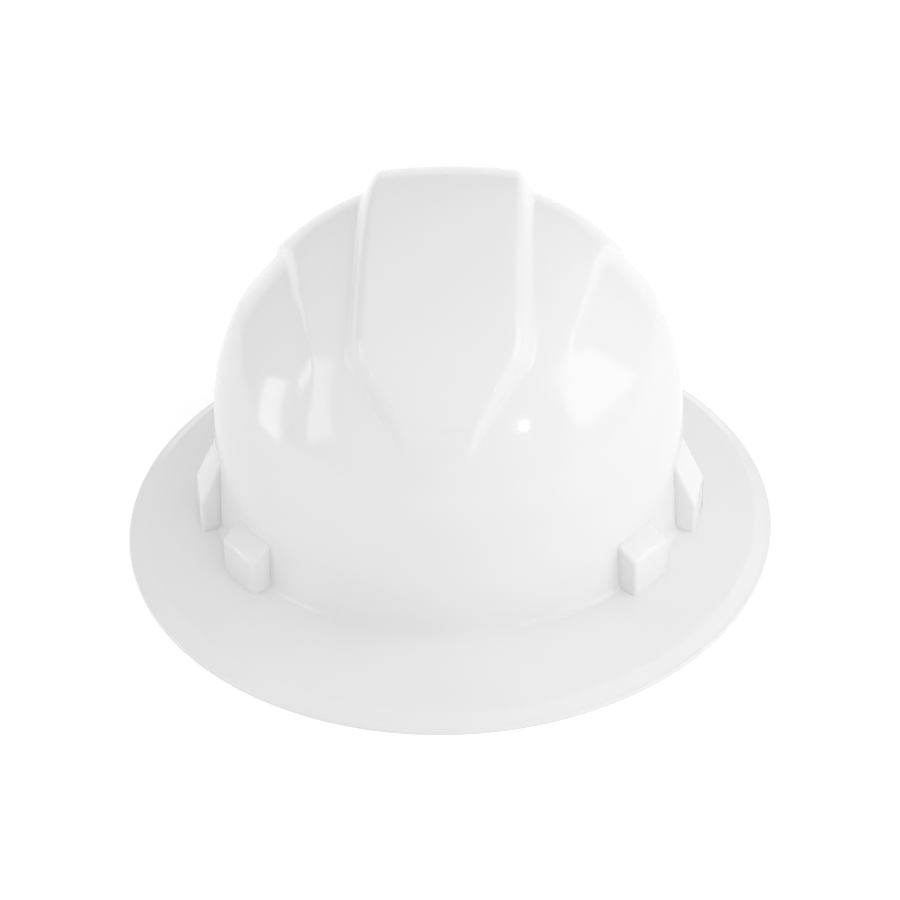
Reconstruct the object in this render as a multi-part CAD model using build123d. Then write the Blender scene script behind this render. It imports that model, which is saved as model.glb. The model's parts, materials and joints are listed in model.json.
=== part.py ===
from build123d import *
import math
import os

# A full brim hard hat: a moulded shell on a six point ratchet suspension.
# The origin is under the middle of the brim, on the surface that the brim's edge rests on.
# The front of the hat faces -Y, the wearer's left is +X and up is +Z.
# Lengths are in millimetres and angles in degrees.

# Brim
brim_half_width = 139.0
brim_half_length = 159.0
lip_width = 7.0
lip_drop = 5.0
lip_land = 1.2
root_height = 10.4
root_fillet = 3.0
root_sink_shares = (0.125, 0.5)
under_reach_share = 4.0

# Dome
wall = 2.5
dome_half_width = 102.6
dome_half_length = 113.9
dome_centre_y = 7.5
dome_height = 141.0
wall_draft = 2.7
shoulder_radius = 85.0
crown_radius = 125.5
inner_dome_bands = 15

# Ridge over the crown
ridge_half_width = 31.5
ridge_height = 5.0
ridge_edge_drop = 2.0
ridge_side_run = 5.0
ridge_side_drop = 8.5
ridge_keel = 13.0
ridge_slope_angles = (0.0, 36.0, 41.0, 50.0, 60.0, 68.0)
ridge_width_shares = (1.0, 1.0, 0.96, 0.74, 0.48, 0.36)
ridge_height_shares = (1.0, 1.0, 1.0, 0.9, 0.62, -0.5)
ridge_step_angle = 4.0

# Flutes beside the ridge, from the rear to the front: shares of the dome's half width and half length
flute_depth = 3.0
flute_hollow = 1.0
flute_crease_x_shares = (0.74, 0.735, 0.70, 0.63, 0.595, 0.555, 0.527, 0.522, 0.527)
flute_crease_y_shares = (0.47, 0.36, 0.215, -0.04, -0.25, -0.41, -0.58, -0.69, -0.765)
flute_edge_x_shares = (0.79, 0.84, 0.875, 0.85, 0.80, 0.78, 0.74, 0.655, 0.56)
flute_edge_y_shares = (0.42, 0.27, 0.10, -0.14, -0.34, -0.44, -0.555, -0.665, -0.765)
flute_depth_shares = (-0.4, 0.5, 1.0, 1.0, 1.0, 1.0, 0.95, 0.4, -0.6)
flute_rim_share = 0.3
flute_rim_rise = 1.2

# Socket bosses, at angles round the dome from its front
front_socket_angle = 51.0
side_socket_angle = 77.5
rear_socket_angle = 130.0
boss_width = 24.0
boss_proud = 7.5
boss_round = 1.2
boss_sink_share = 0.65
front_boss_face_top = 25.0
front_boss_roof_top = 31.5
side_boss_face_top = 23.0
side_boss_roof_top = 45.0

# Keys that hold the suspension in the sockets
clearance = 0.3
screw_clearance = 0.1
tongue_offset = 1.2
tongue_width = 16.0
tongue_thickness = 3.0
tongue_top = 23.6
tongue_lead = 1.0
key_thickness = 2.8
leg_gap = 2.2
leg_bend_height = 16.0
plate_bend_height = 26.0
plate_lean = 4.0
plate_width = 26.0
plate_top = 42.0
plate_round = 3.0
strap_bar_height = 4.0
strap_window_height = 4.5
post_width = 10.0
post_thickness = 3.0
post_height = 10.5
post_hook_thickness = 2.0
post_hook_rise = 2.0

# Crown straps
strap_width = 19.0
strap_thickness = 1.3
strap_window_width = 20.0
strap_spring_height = 46.0
crown_clear_height = 104.0
crown_layer = 2.0
side_strap_lift = 2.0
strap_fan_angles = (0.0, 9.0, 20.0, 32.0, 44.0, 56.0, 67.0, 76.0, 84.0, 90.0)
crown_pad_radius = 29.0
crown_pad_thickness = 4.0
crown_pad_flat_share = 0.45

# Headband, whose middle line wraps two circles
band_rear_radius = 80.9
band_rear_y = 17.0
band_front_radius = 57.8
band_front_y = -32.2
band_thickness = 1.8
band_bottom = 8.0
band_top = 40.0
band_end_angle = 60.0
band_corner = 6.0
band_slot_length = 11.0
band_slot_height = 4.0
band_slot_step = 24.0
band_slot_count = 5
band_slot_z = 34.0
brow_pad_thickness = 4.0
brow_pad_bottom = 17.0
brow_pad_top = 38.5
brow_pad_rear_y = -12.0

# Ratchet drive
ratchet_height = 27.0
tooth_module = 1.0
pinion_teeth = 10
pressure_angle = 25.0
tooth_backlash = 0.34
rack_tip_share = 0.9
pinion_root_share = 1.25
pinion_tip_share = 0.95
nape_strap_thickness = 1.4
nape_strap_height = 22.0
nape_strap_front_angle = 77.0
nape_strap_tail_angle = 35.0
nape_window_gap = 1.6
nape_window_tail_angle = 29.5
nape_window_front_angle = 13.0
nape_strap_corner = 5.0
guide_thickness = 1.6
guide_length_angle = 5.5
guide_setback_angle = 1.0
gear_side_gap = 0.15

# Nape plate with the ratchet's cover and knob
nape_end_angle = 56.0
nape_bottom = 7.5
housing_half_angle = 19.5
housing_half_height = 17.2
centre_spread_angle = 2.0
centre_corner = 3.0
cover_thickness = 1.8
cover_corner = 6.0
cover_ring_root_share = 0.5
cover_pad_root_share = 0.33
cover_pad_radius = 17.5
cover_pad_height = 0.6
detent_radius = 13.3
detent_ring_thickness = 1.8
detent_ring_height = 2.0
detent_notch_depth = 0.7
detent_count = 24
shaft_radius = 4.0
journal_radius = 2.5
running_clearance = 0.08
knob_radius = 17.0
knob_depth = 8.8
knob_wall = 1.7
knob_top_thickness = 2.0
knob_bevel = 1.2
knob_hub_radius = 6.4
knob_grip_radius = 3.0
knob_grip_depth = 1.1
knob_grip_count = 12
pawl_ring_thickness = 1.4
pawl_ring_width = 1.8
pawl_arm_width = 1.1
pawl_spoke_width = 2.2
pawl_arm_angle = 70.0
pawl_tip_radius = 0.7
screw_head_radius = 3.0
screw_head_height = 1.2
screw_shank_radius = 1.2
screw_length = 6.0
screw_recess_depth = 1.5
cover_screw_angle = 15.5
cover_screw_head_radius = 2.4
cover_screw_shank_radius = 1.0
nape_pad_thickness = 3.8
nape_pad_angle = 36.0
nape_pad_bottom = 12.0
nape_pad_top = 42.0

# One overrun serves every cut
overrun = 2.0
overrun_angle = 2.0
edge_match_share = 0.1
halvings = 40

# Sizes worked out from the ones above
dome_ratio = dome_half_length / dome_half_width
draft_slope = math.tan(math.radians(wall_draft))
draft_cosine = math.cos(math.radians(wall_draft))
root_half_width = dome_half_width - root_height * draft_slope
root_half_length = root_half_width * dome_ratio
crown_centre_z = dome_height - crown_radius
side_slope = (root_height - lip_drop) / (brim_half_width - lip_width - root_half_width)
foot_top = root_height - wall - side_slope * (tongue_offset + tongue_thickness + clearance) - clearance
foot_bottom = foot_top - key_thickness
plate_outer = wall + leg_gap + plate_lean
plate_inner = plate_outer + key_thickness
pitch_radius = tooth_module * pinion_teeth / 2
band_outer = band_rear_radius + band_thickness / 2
band_inner = band_rear_radius - band_thickness / 2
inner_strap_radius = band_outer + clearance
outer_strap_radius = inner_strap_radius + nape_strap_thickness + clearance
strap_space_radius = outer_strap_radius + nape_strap_thickness + clearance
cover_radius = strap_space_radius + cover_thickness
rack_radius = (inner_strap_radius + outer_strap_radius + nape_strap_thickness) / 2
rack_step = math.degrees(math.pi * tooth_module / rack_radius)
knob_base_y = band_rear_y + cover_radius + cover_pad_height + clearance
knob_face_y = knob_base_y + knob_depth
strap_low = ratchet_height - nape_strap_height / 2
strap_high = ratchet_height + nape_strap_height / 2


def shoulder_centre():
    """Centre of the shoulder arc, which is tangent to the drafted wall and to the crown arc."""
    offset = dome_half_width - shoulder_radius / draft_cosine
    reach = crown_radius - shoulder_radius
    half = offset * draft_slope + crown_centre_z
    steep = 1 + draft_slope ** 2
    rest = offset ** 2 + crown_centre_z ** 2 - reach ** 2
    height = (half + math.sqrt(half ** 2 - steep * rest)) / steep
    return offset - height * draft_slope, height


shoulder_x, shoulder_z = shoulder_centre()
joint_angle = math.degrees(math.atan2(shoulder_x, shoulder_z - crown_centre_z))


def dome_profile_point(angle, inset):
    """Point of the dome's half section where its normal leans by angle from straight up."""
    turn = math.radians(angle)
    if angle < joint_angle:
        radius = crown_radius - inset
        return radius * math.sin(turn), crown_centre_z + radius * math.cos(turn)
    radius = shoulder_radius - inset
    return shoulder_x + radius * math.sin(turn), shoulder_z + radius * math.cos(turn)


def dome_point(x, y, inset):
    """Point on the dome over a place in plan, moved inwards by inset, with the outward normal there."""
    away = y - dome_centre_y
    radius = math.hypot(x, away / dome_ratio)
    joint_x = dome_profile_point(joint_angle, 0)[0]
    if radius < joint_x:
        rise = math.sqrt(crown_radius ** 2 - radius ** 2)
        height = crown_centre_z + rise
        slope = radius / rise
    else:
        rise = math.sqrt(shoulder_radius ** 2 - (radius - shoulder_x) ** 2)
        height = shoulder_z + rise
        slope = (radius - shoulder_x) / rise
    normal = Vector(slope * x / radius, slope * away / (dome_ratio ** 2 * radius), 1).normalized()
    return Vector(x, y, height) - normal * inset, normal


def stretched(shape):
    """Lengthen a round shape about the dome's axis to the dome's oval plan."""
    return Pos(0, dome_centre_y, 0) * scale(shape, by=(1, dome_ratio, 1))


def dome(inset, low):
    """The dome without its ridge, from its drafted wall to its crown."""
    foot = (dome_half_width - inset / draft_cosine - low * draft_slope, low)
    wall_end = dome_profile_point(90 - wall_draft, inset)
    shoulder_middle = dome_profile_point((90 - wall_draft + joint_angle) / 2, inset)
    joint = dome_profile_point(joint_angle, inset)
    crown_middle = dome_profile_point(joint_angle / 2, inset)
    top = dome_profile_point(0, inset)
    outline = Curve() + [
        Line((0, low), foot),
        Line(foot, wall_end),
        ThreePointArc(wall_end, shoulder_middle, joint),
        ThreePointArc(joint, crown_middle, top),
        Line(top, (0, low)),
    ]
    section = Plane.XZ * make_face(outline)
    return stretched(revolve(section, Axis.Z, 360))


def inner_dome(inset, low):
    """The dome's inside in straight bands, which keep its facets few."""
    outline = [(0, low), (dome_half_width - inset / draft_cosine - low * draft_slope, low)]
    for count in range(inner_dome_bands + 1):
        outline.append(dome_profile_point((90 - wall_draft) * (1 - count / inner_dome_bands), inset))
    section = Plane.XZ * make_face(Polyline(*outline, close=True))
    return stretched(revolve(section, Axis.Z, 360))


def oval(half_width, half_length, centre_y, height):
    """Level oval face, a section of the brim's lofts."""
    return Plane((0, centre_y, height)) * Ellipse(half_width, half_length)


def root_oval(out, height):
    """Oval that follows the dome's foot at a distance outside it."""
    return oval(root_half_width + out, root_half_length + out, dome_centre_y, height)


def brim_outside():
    """Lip, brim and the fillet up to the dome, as one filled form."""
    fillet_low = root_height - root_fillet * side_slope
    corner_share = 1 - math.sqrt(0.5)
    rings = [
        oval(brim_half_width, brim_half_length, 0, 0),
        oval(brim_half_width, brim_half_length, 0, lip_land),
        oval(brim_half_width - lip_width, brim_half_length - lip_width, 0, lip_drop),
        root_oval(root_fillet, fillet_low),
        root_oval(root_fillet * corner_share, fillet_low + root_fillet * corner_share),
        *[root_oval(-wall * share, fillet_low + root_fillet) for share in root_sink_shares],
    ]
    return loft(rings, ruled=True)


def brim_inside():
    """Space under the brim, a wall thickness below its outside."""
    lip_angle = math.atan2(lip_drop - lip_land, lip_width)
    crease_in = lip_width + wall * math.sin(lip_angle)
    edge_in = crease_in - (lip_drop - wall) / math.tan(lip_angle)
    under_root = root_height - wall + wall * side_slope / 2
    reach = under_reach_share * wall
    rings = [
        oval(brim_half_width - edge_in, brim_half_length - edge_in, 0, -overrun),
        oval(brim_half_width - edge_in, brim_half_length - edge_in, 0, 0),
        oval(brim_half_width - crease_in, brim_half_length - crease_in, 0, lip_drop - wall),
        root_oval(-wall, under_root),
        root_oval(-wall - reach, under_root + reach * side_slope),
    ]
    return loft(rings, ruled=True)


def ridge_section(angle, front, width_share, height_share, inset):
    """Drafted section of the ridge, square to the dome's middle line."""
    side = -1 if front else 1
    radius, height = dome_profile_point(angle, 0)
    turn = math.radians(angle)
    normal = Vector(0, side * math.sin(turn), dome_ratio * math.cos(turn)).normalized()
    place = Plane(
        origin=(0, dome_centre_y + side * dome_ratio * radius, height),
        x_dir=(1, 0, 0),
        z_dir=Vector(1, 0, 0).cross(normal),
    )
    slant = math.hypot(ridge_side_run, ridge_side_drop)
    side_in = inset * (slant - ridge_side_run) / ridge_side_drop
    half = ridge_half_width * width_share - side_in
    top = ridge_height * height_share - inset
    edge = top - ridge_edge_drop * width_share ** 2
    keel = -ridge_keel
    foot = half + (edge - keel) * ridge_side_run / ridge_side_drop
    outline = Curve() + [
        ThreePointArc((-half, edge), (0, top), (half, edge)),
        Polyline((half, edge), (foot, keel), (-foot, keel), (-half, edge)),
    ]
    return place * make_face(outline)


def share_at(angle, shares):
    """Share at an angle down from the crown, read between the ridge's stations."""
    for low, high in zip(range(len(shares) - 1), range(1, len(shares))):
        if angle <= ridge_slope_angles[high]:
            span = ridge_slope_angles[high] - ridge_slope_angles[low]
            part = (angle - ridge_slope_angles[low]) / span
            return shares[low] + (shares[high] - shares[low]) * part
    return shares[-1]


def ridge(inset):
    """Flat topped ridge from brow to nape, with sides that close in at both ends."""
    last = ridge_slope_angles[-1]
    steps = math.ceil(last / ridge_step_angle)
    sections = []
    for count in range(-steps, steps + 1):
        angle = last * abs(count) / steps
        width_share = share_at(angle, ridge_width_shares)
        height_share = share_at(angle, ridge_height_shares)
        sections.append(ridge_section(angle, count > 0, width_share, height_share, inset))
    return loft(sections, ruled=True)


def flute(side, inset):
    """Wedge that cuts one hollow flute, deepest at the crease along its upper edge."""
    sections = []
    rows = zip(
        flute_crease_x_shares,
        flute_crease_y_shares,
        flute_edge_x_shares,
        flute_edge_y_shares,
        flute_depth_shares,
    )
    for crease_x, crease_y, edge_x, edge_y, depth_share in rows:
        crease, normal = dome_point(
            side * crease_x * dome_half_width, dome_centre_y + crease_y * dome_half_length, inset
        )
        edge, edge_normal = dome_point(
            side * edge_x * dome_half_width, dome_centre_y + edge_y * dome_half_length, inset
        )
        across = (edge - crease).normalized()
        crease = crease - across * inset
        square = (normal - across * normal.dot(across)).normalized()
        low = crease - square * flute_depth * depth_share
        rim = edge + (edge - crease) * flute_rim_share + square * flute_rim_rise
        middle = (low + rim) / 2 - square * flute_hollow
        lift = square * (flute_depth + overrun)
        outline = Curve() + [
            ThreePointArc(low, middle, rim),
            Polyline(rim, rim + lift, crease + lift, low),
        ]
        sections.append(make_face(outline))
    return loft(sections)


def wall_frame(angle):
    """Plane on the dome's foot at an angle round from the front: x is outward and y is up."""
    turn = math.radians(angle)
    x = root_half_width * math.sin(turn)
    y = dome_centre_y - root_half_length * math.cos(turn)
    outward = Vector(root_half_length * math.sin(turn), -root_half_width * math.cos(turn), 0).normalized()
    return Plane(origin=(x, y, 0), x_dir=outward, z_dir=outward.cross(Vector(0, 0, 1)))


def slab(frame, points, width):
    """Outline drawn outward and up from the dome's foot, as thick as width along the wall."""
    outline = frame * make_face(Polyline(*points, close=True))
    return extrude(outline, amount=width / 2, both=True)


def boss(angle, face_top, roof_top):
    """Moulded socket housing on the outside of the wall, with a sloping roof."""
    inner = -wall * boss_sink_share
    bottom = root_height - wall / 2 - side_slope * boss_proud / 2
    points = [
        (inner, bottom),
        (boss_proud, bottom),
        (boss_proud, face_top),
        (inner - (roof_top - root_height) * draft_slope, roof_top),
    ]
    block = slab(wall_frame(angle), points, boss_width)
    upright = [e for e in block.edges() if abs(e.length - (face_top - bottom)) < wall * edge_match_share]
    return fillet(upright, boss_round)


def pocket(angle):
    """Slot that takes a key's tongue, open downwards through the foot of the wall."""
    near = tongue_offset - clearance
    far = tongue_offset + tongue_thickness + clearance
    top = tongue_top + 2 * clearance
    points = [(near, -overrun), (far, -overrun), (far, top), (near, top)]
    return slab(wall_frame(angle), points, tongue_width + 2 * clearance)


def socket_angles():
    """The six sockets by name, each with its angle round from the front."""
    return {
        "front_left": front_socket_angle,
        "front_right": -front_socket_angle,
        "side_left": side_socket_angle,
        "side_right": -side_socket_angle,
        "rear_left": rear_socket_angle,
        "rear_right": -rear_socket_angle,
    }


def shell():
    """Dome, ridge, flutes, brim and sockets in one moulding of even wall."""
    low = root_height - wall / 2
    outside = dome(0, low) + ridge(0) + brim_outside()
    inside = inner_dome(wall, low - wall) + ridge(wall)
    for side in (1, -1):
        outside = outside - flute(side, 0)
        inside = inside - flute(side, wall)
    bosses = []
    for name, angle in socket_angles().items():
        if name.startswith("side"):
            bosses.append(boss(angle, side_boss_face_top, side_boss_roof_top))
        else:
            bosses.append(boss(angle, front_boss_face_top, front_boss_roof_top))
    outside = outside + bosses
    pockets = [pocket(angle) for angle in socket_angles().values()]
    return outside - brim_inside() - pockets - inside


def band_offset(x, y):
    """Signed distance in plan from the headband's middle line, positive outside it."""
    span = band_rear_y - band_front_y
    lean = (band_rear_radius - band_front_radius) / span
    rise = math.sqrt(1 - lean ** 2)
    side = abs(x)
    ahead = band_rear_y - y
    along = ahead * rise - side * lean
    if along < 0:
        return math.hypot(side, ahead) - band_rear_radius
    if along > rise * span:
        return math.hypot(side, ahead - span) - band_front_radius
    return side * rise + ahead * lean - band_rear_radius


def band_reach(frame):
    """Distance inwards from the dome's foot to the headband's middle line."""
    near = 0.0
    far = band_rear_radius
    for _ in range(halvings):
        middle = (near + far) / 2
        place = frame.origin - frame.x_dir * middle
        if band_offset(place.X, place.Y) > 0:
            near = middle
        else:
            far = middle
    return near


def post_end(frame):
    """How far inwards a key's post reaches, past the band's inner face."""
    return band_reach(frame) + band_thickness / 2 + clearance + post_hook_thickness


def key(angle):
    """Hook with its tongue in the socket, its foot under the wall and its plate inside the dome."""
    frame = wall_frame(angle)
    tongue_far = tongue_offset + tongue_thickness
    leg_outer = wall + leg_gap
    leg_inner = leg_outer + key_thickness
    hook = [
        (tongue_far, foot_bottom + tongue_lead),
        (tongue_far, tongue_top - tongue_lead),
        (tongue_far - tongue_lead, tongue_top),
        (tongue_offset, tongue_top),
        (tongue_offset, foot_top),
        (-leg_outer, foot_top),
        (-leg_outer, leg_bend_height),
        (-plate_outer, plate_bend_height),
        (-plate_outer, plate_bend_height + key_thickness),
        (-plate_inner, plate_bend_height + key_thickness),
        (-plate_inner, plate_bend_height),
        (-leg_inner, leg_bend_height),
        (-leg_inner, foot_bottom),
        (tongue_far - tongue_lead, foot_bottom),
    ]
    body = slab(frame, hook, tongue_width)
    sheet = [
        (-plate_outer, plate_bend_height),
        (-plate_outer, plate_top),
        (-plate_inner, plate_top),
        (-plate_inner, plate_bend_height),
    ]
    plate = slab(frame, sheet, plate_width)
    corners = [e for e in plate.edges() if abs(e.length - key_thickness) < clearance]
    plate = fillet(corners, plate_round)
    window_top = plate_top - strap_bar_height
    window_low = window_top - strap_window_height
    hole = [
        (-plate_outer + overrun, window_low),
        (-plate_outer + overrun, window_top),
        (-plate_inner - overrun, window_top),
        (-plate_inner - overrun, window_low),
    ]
    plate = plate - slab(frame, hole, strap_window_width)
    end = post_end(frame)
    post_top = post_height + post_thickness
    arm = [
        (-leg_inner + key_thickness / 2, post_height),
        (-leg_inner + key_thickness / 2, post_top),
        (-end + post_hook_thickness, post_top),
        (-end + post_hook_thickness, post_top + post_hook_rise),
        (-end, post_top + post_hook_rise),
        (-end, post_height),
    ]
    return body + plate + slab(frame, arm, post_width)


def strap_loop(frame):
    """End of a crown strap, folded round the key's bar and stitched to itself."""
    inner = plate_inner + clearance
    outer = plate_outer - clearance
    bar_top = plate_top + clearance
    bar_low = plate_top - strap_bar_height - clearance
    ring_outside = [
        (-inner - strap_thickness, bar_low - strap_thickness),
        (-outer + strap_thickness, bar_low - strap_thickness),
        (-outer + strap_thickness, bar_top + strap_thickness),
        (-inner, bar_top + strap_thickness),
        (-inner, strap_spring_height),
        (-inner - strap_thickness, strap_spring_height),
    ]
    hole = [(-inner, bar_low), (-outer, bar_low), (-outer, bar_top), (-inner, bar_top)]
    return slab(frame, ring_outside, strap_width) - slab(frame, hole, strap_width + overrun)


def strap_start(frame):
    """Middle of the strap where it leaves its fold."""
    out = plate_inner + clearance + strap_thickness / 2
    return frame.origin - frame.x_dir * out + Vector(0, 0, strap_spring_height)


def strap_section(place, width_dir, run_dir):
    """Flat webbing section square to the run of the strap."""
    level = (width_dir - run_dir * width_dir.dot(run_dir)).normalized()
    return Plane(origin=place, x_dir=level, z_dir=run_dir) * Rectangle(strap_width, strap_thickness)


def crown_strap(first_angle, second_angle, crown_height):
    """Webbing from one key over the crown to another, turned a little from the wall to its own line."""
    ends = [wall_frame(first_angle), wall_frame(second_angle)]
    starts = [strap_start(frame) for frame in ends]
    middle = (starts[0] + starts[1]) / 2
    half = (starts[0] - starts[1]) / 2
    rise = crown_height - strap_spring_height
    along = half.normalized()
    level = along.cross(Vector(0, 0, 1))
    sections = []
    for sign, frame in ((1, ends[0]), (-1, ends[1])):
        wall_level = frame.z_dir
        if wall_level.dot(level) < 0:
            wall_level = wall_level * -1
        fan = strap_fan_angles if sign > 0 else tuple(reversed(strap_fan_angles[:-1]))
        for angle in fan:
            turn = math.radians(angle)
            place = middle + half * (sign * math.cos(turn)) + Vector(0, 0, rise * math.sin(turn))
            run = (half * (-math.sin(turn)) + Vector(0, 0, sign * rise * math.cos(turn))).normalized()
            share = math.sin(turn)
            width_dir = wall_level * (1 - share) + level * share
            sections.append(strap_section(place, width_dir, run))
    return loft(sections, ruled=True) + strap_loop(ends[0]) + strap_loop(ends[1])


def crown_pad():
    """Dished foam disc under the crossing of the straps."""
    curve = band_rear_radius ** 2 / (crown_clear_height - strap_spring_height)
    top = crown_clear_height - crown_layer - strap_thickness / 2 - clearance
    flat = crown_pad_radius * crown_pad_flat_share
    sag = curve - math.sqrt(curve ** 2 - flat ** 2)
    drop = curve - math.sqrt(curve ** 2 - crown_pad_radius ** 2)
    low = top - crown_pad_thickness
    outline = [(0, top - sag), (flat, top - sag), (crown_pad_radius, top - drop)]
    outline += [(crown_pad_radius, low - drop), (flat, low - sag), (0, low - sag)]
    return Pos(0, dome_centre_y, 0) * revolve(Plane.XZ * make_face(Polyline(*outline, close=True)), Axis.Z, 360)


def band_form(offset, low, high):
    """Filled plan of the headband's middle line moved outwards by offset, between two heights."""
    lean = math.asin((band_rear_radius - band_front_radius) / (band_rear_y - band_front_y))
    rear = band_rear_radius + offset
    front = band_front_radius + offset
    rear_side = (rear * math.cos(lean), band_rear_y - rear * math.sin(lean))
    front_side = (front * math.cos(lean), band_front_y - front * math.sin(lean))
    outline = Curve() + [
        ThreePointArc(rear_side, (0, band_rear_y + rear), (-rear_side[0], rear_side[1])),
        Line((-rear_side[0], rear_side[1]), (-front_side[0], front_side[1])),
        ThreePointArc((-front_side[0], front_side[1]), (0, band_front_y - front), front_side),
        Line(front_side, rear_side),
    ]
    return extrude(Plane((0, 0, low)) * make_face(outline), amount=high - low)


def rear_place(radius, angle, height):
    """Point at an angle round from the rear, about the band's rear centre."""
    turn = math.radians(angle)
    return radius * math.sin(turn), band_rear_y + radius * math.cos(turn), height


def arc_strip(inner, outer, start, end, low, high):
    """Upright strip bent to an arc about the band's rear centre."""
    def flat(radius, angle):
        return rear_place(radius, angle, 0)[:2]

    middle = (start + end) / 2
    outline = Curve() + [
        ThreePointArc(flat(outer, start), flat(outer, middle), flat(outer, end)),
        Line(flat(outer, end), flat(inner, end)),
        ThreePointArc(flat(inner, end), flat(inner, middle), flat(inner, start)),
        Line(flat(inner, start), flat(outer, start)),
    ]
    return extrude(Plane((0, 0, low)) * make_face(outline), amount=high - low)


def rounded_ends(strip, thickness, radius):
    """Round the corners of a bent strip that has the given thickness."""
    corners = [e for e in strip.edges() if abs(e.length - thickness) < thickness * edge_match_share]
    return fillet(corners, radius)


def post_slot(angle):
    """Opening in the band for the hook of a key's post."""
    frame = wall_frame(angle)
    reach = band_reach(frame)
    low = post_height - clearance
    high = post_height + post_thickness + post_hook_rise + clearance
    points = [
        (-reach - overrun, low),
        (-reach + overrun, low),
        (-reach + overrun, high),
        (-reach - overrun, high),
    ]
    return slab(frame, points, post_width + 2 * clearance)


def guide(middle_angle):
    """Loop on the outside of the band that the nape straps slide through."""
    start = middle_angle - guide_length_angle / 2
    end = middle_angle + guide_length_angle / 2
    low = strap_low - clearance
    high = strap_high + clearance
    block = arc_strip(
        band_outer - band_thickness / 2,
        strap_space_radius + guide_thickness,
        start,
        end,
        low - guide_thickness,
        high + guide_thickness,
    )
    channel = arc_strip(
        band_inner, strap_space_radius, start - overrun_angle, end + overrun_angle, low, high
    )
    return block - channel


def headband():
    """Band round the brow and the sides of the head, with a strap guide at each end."""
    half = band_thickness / 2
    ring = band_form(half, band_bottom, band_top) - band_form(-half, band_bottom - overrun, band_top + overrun)
    far = 2 * band_rear_radius
    wedge = Polyline(
        (0, band_rear_y),
        rear_place(far, -band_end_angle, 0)[:2],
        (0, band_rear_y + far),
        rear_place(far, band_end_angle, 0)[:2],
        close=True,
    )
    gap = extrude(Plane((0, 0, band_bottom - overrun)) * make_face(wedge), amount=2 * band_top)
    ring = rounded_ends(ring - gap, band_thickness, band_corner)
    for side in (1, -1):
        ring = ring + guide(side * (band_end_angle + guide_setback_angle + guide_length_angle / 2))
    for name in ("front_left", "front_right", "side_left", "side_right"):
        ring = ring - post_slot(socket_angles()[name])
    for count in range(band_slot_count):
        turn = (count - (band_slot_count - 1) / 2) * band_slot_step
        hole = Box(band_slot_length, band_thickness + overrun, band_slot_height)
        place = Pos(0, band_front_y, band_slot_z) * Rot(0, 0, turn) * Pos(0, -band_front_radius, 0)
        ring = ring - place * hole
    return ring


def brow_pad():
    """Sweatband against the inside of the brow."""
    outer = -band_thickness / 2 - clearance
    pad = band_form(outer, brow_pad_bottom, brow_pad_top)
    pad = pad - band_form(outer - brow_pad_thickness, brow_pad_bottom - overrun, brow_pad_top + overrun)
    width = 2 * brim_half_width
    keep = Pos(0, brow_pad_rear_y - width / 2, brow_pad_top) * Box(width, width, width)
    return pad & keep


def drive_plane(y):
    """Plane square to the ratchet's axis, facing the rear."""
    return Plane(origin=(0, y, ratchet_height), x_dir=(1, 0, 0), z_dir=(0, 1, 0))


def disc(radius, y_low, y_high):
    """Round plug on the ratchet's axis."""
    return extrude(drive_plane(y_low) * Circle(radius), amount=y_high - y_low)


def rack_tooth(up):
    """One straight rack tooth over the pinion, pointing at its axis."""
    sign = 1 if up else -1
    slope = math.tan(math.radians(pressure_angle))
    half = (math.pi * tooth_module / 2 - tooth_backlash) / 2
    tip = rack_tip_share * tooth_module
    base = pinion_root_share * tooth_module + clearance
    outline = [
        (-half + tip * slope, sign * (pitch_radius - tip)),
        (half - tip * slope, sign * (pitch_radius - tip)),
        (half + base * slope, sign * (pitch_radius + base)),
        (-half - base * slope, sign * (pitch_radius + base)),
    ]
    inner = band_rear_y + inner_strap_radius - overrun
    depth = 2 * nape_strap_thickness + 2 * overrun
    plane = Plane(origin=(0, inner, ratchet_height), x_dir=(-1, 0, 0), z_dir=(0, 1, 0))
    return extrude(plane * make_face(Polyline(*outline, close=True)), amount=depth)


def nape_strap(side, inner, teeth_up):
    """Strap that slides round the nape, with a rack along one edge of its window."""
    outer = inner + nape_strap_thickness
    strip = arc_strip(
        inner, outer, -side * nape_strap_tail_angle, side * nape_strap_front_angle, strap_low, strap_high
    )
    strip = rounded_ends(strip, nape_strap_thickness, nape_strap_corner)
    toothed = pitch_radius + pinion_root_share * tooth_module
    plain = pitch_radius + nape_window_gap
    top = ratchet_height + (toothed if teeth_up else plain)
    low = ratchet_height - (plain if teeth_up else toothed)
    tail = -side * nape_window_tail_angle
    front = side * nape_window_front_angle
    window = arc_strip(inner - overrun, outer + overrun, tail, front, low, top)
    tooth = rack_tooth(teeth_up)
    first = math.ceil(-nape_window_tail_angle / rack_step)
    last = math.floor(nape_window_front_angle / rack_step)
    axis = Axis((0, band_rear_y, 0), (0, 0, 1))
    teeth = [tooth.rotate(axis, -side * rack_step * count) for count in range(first, last + 1)]
    return strip - (window - teeth)


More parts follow.
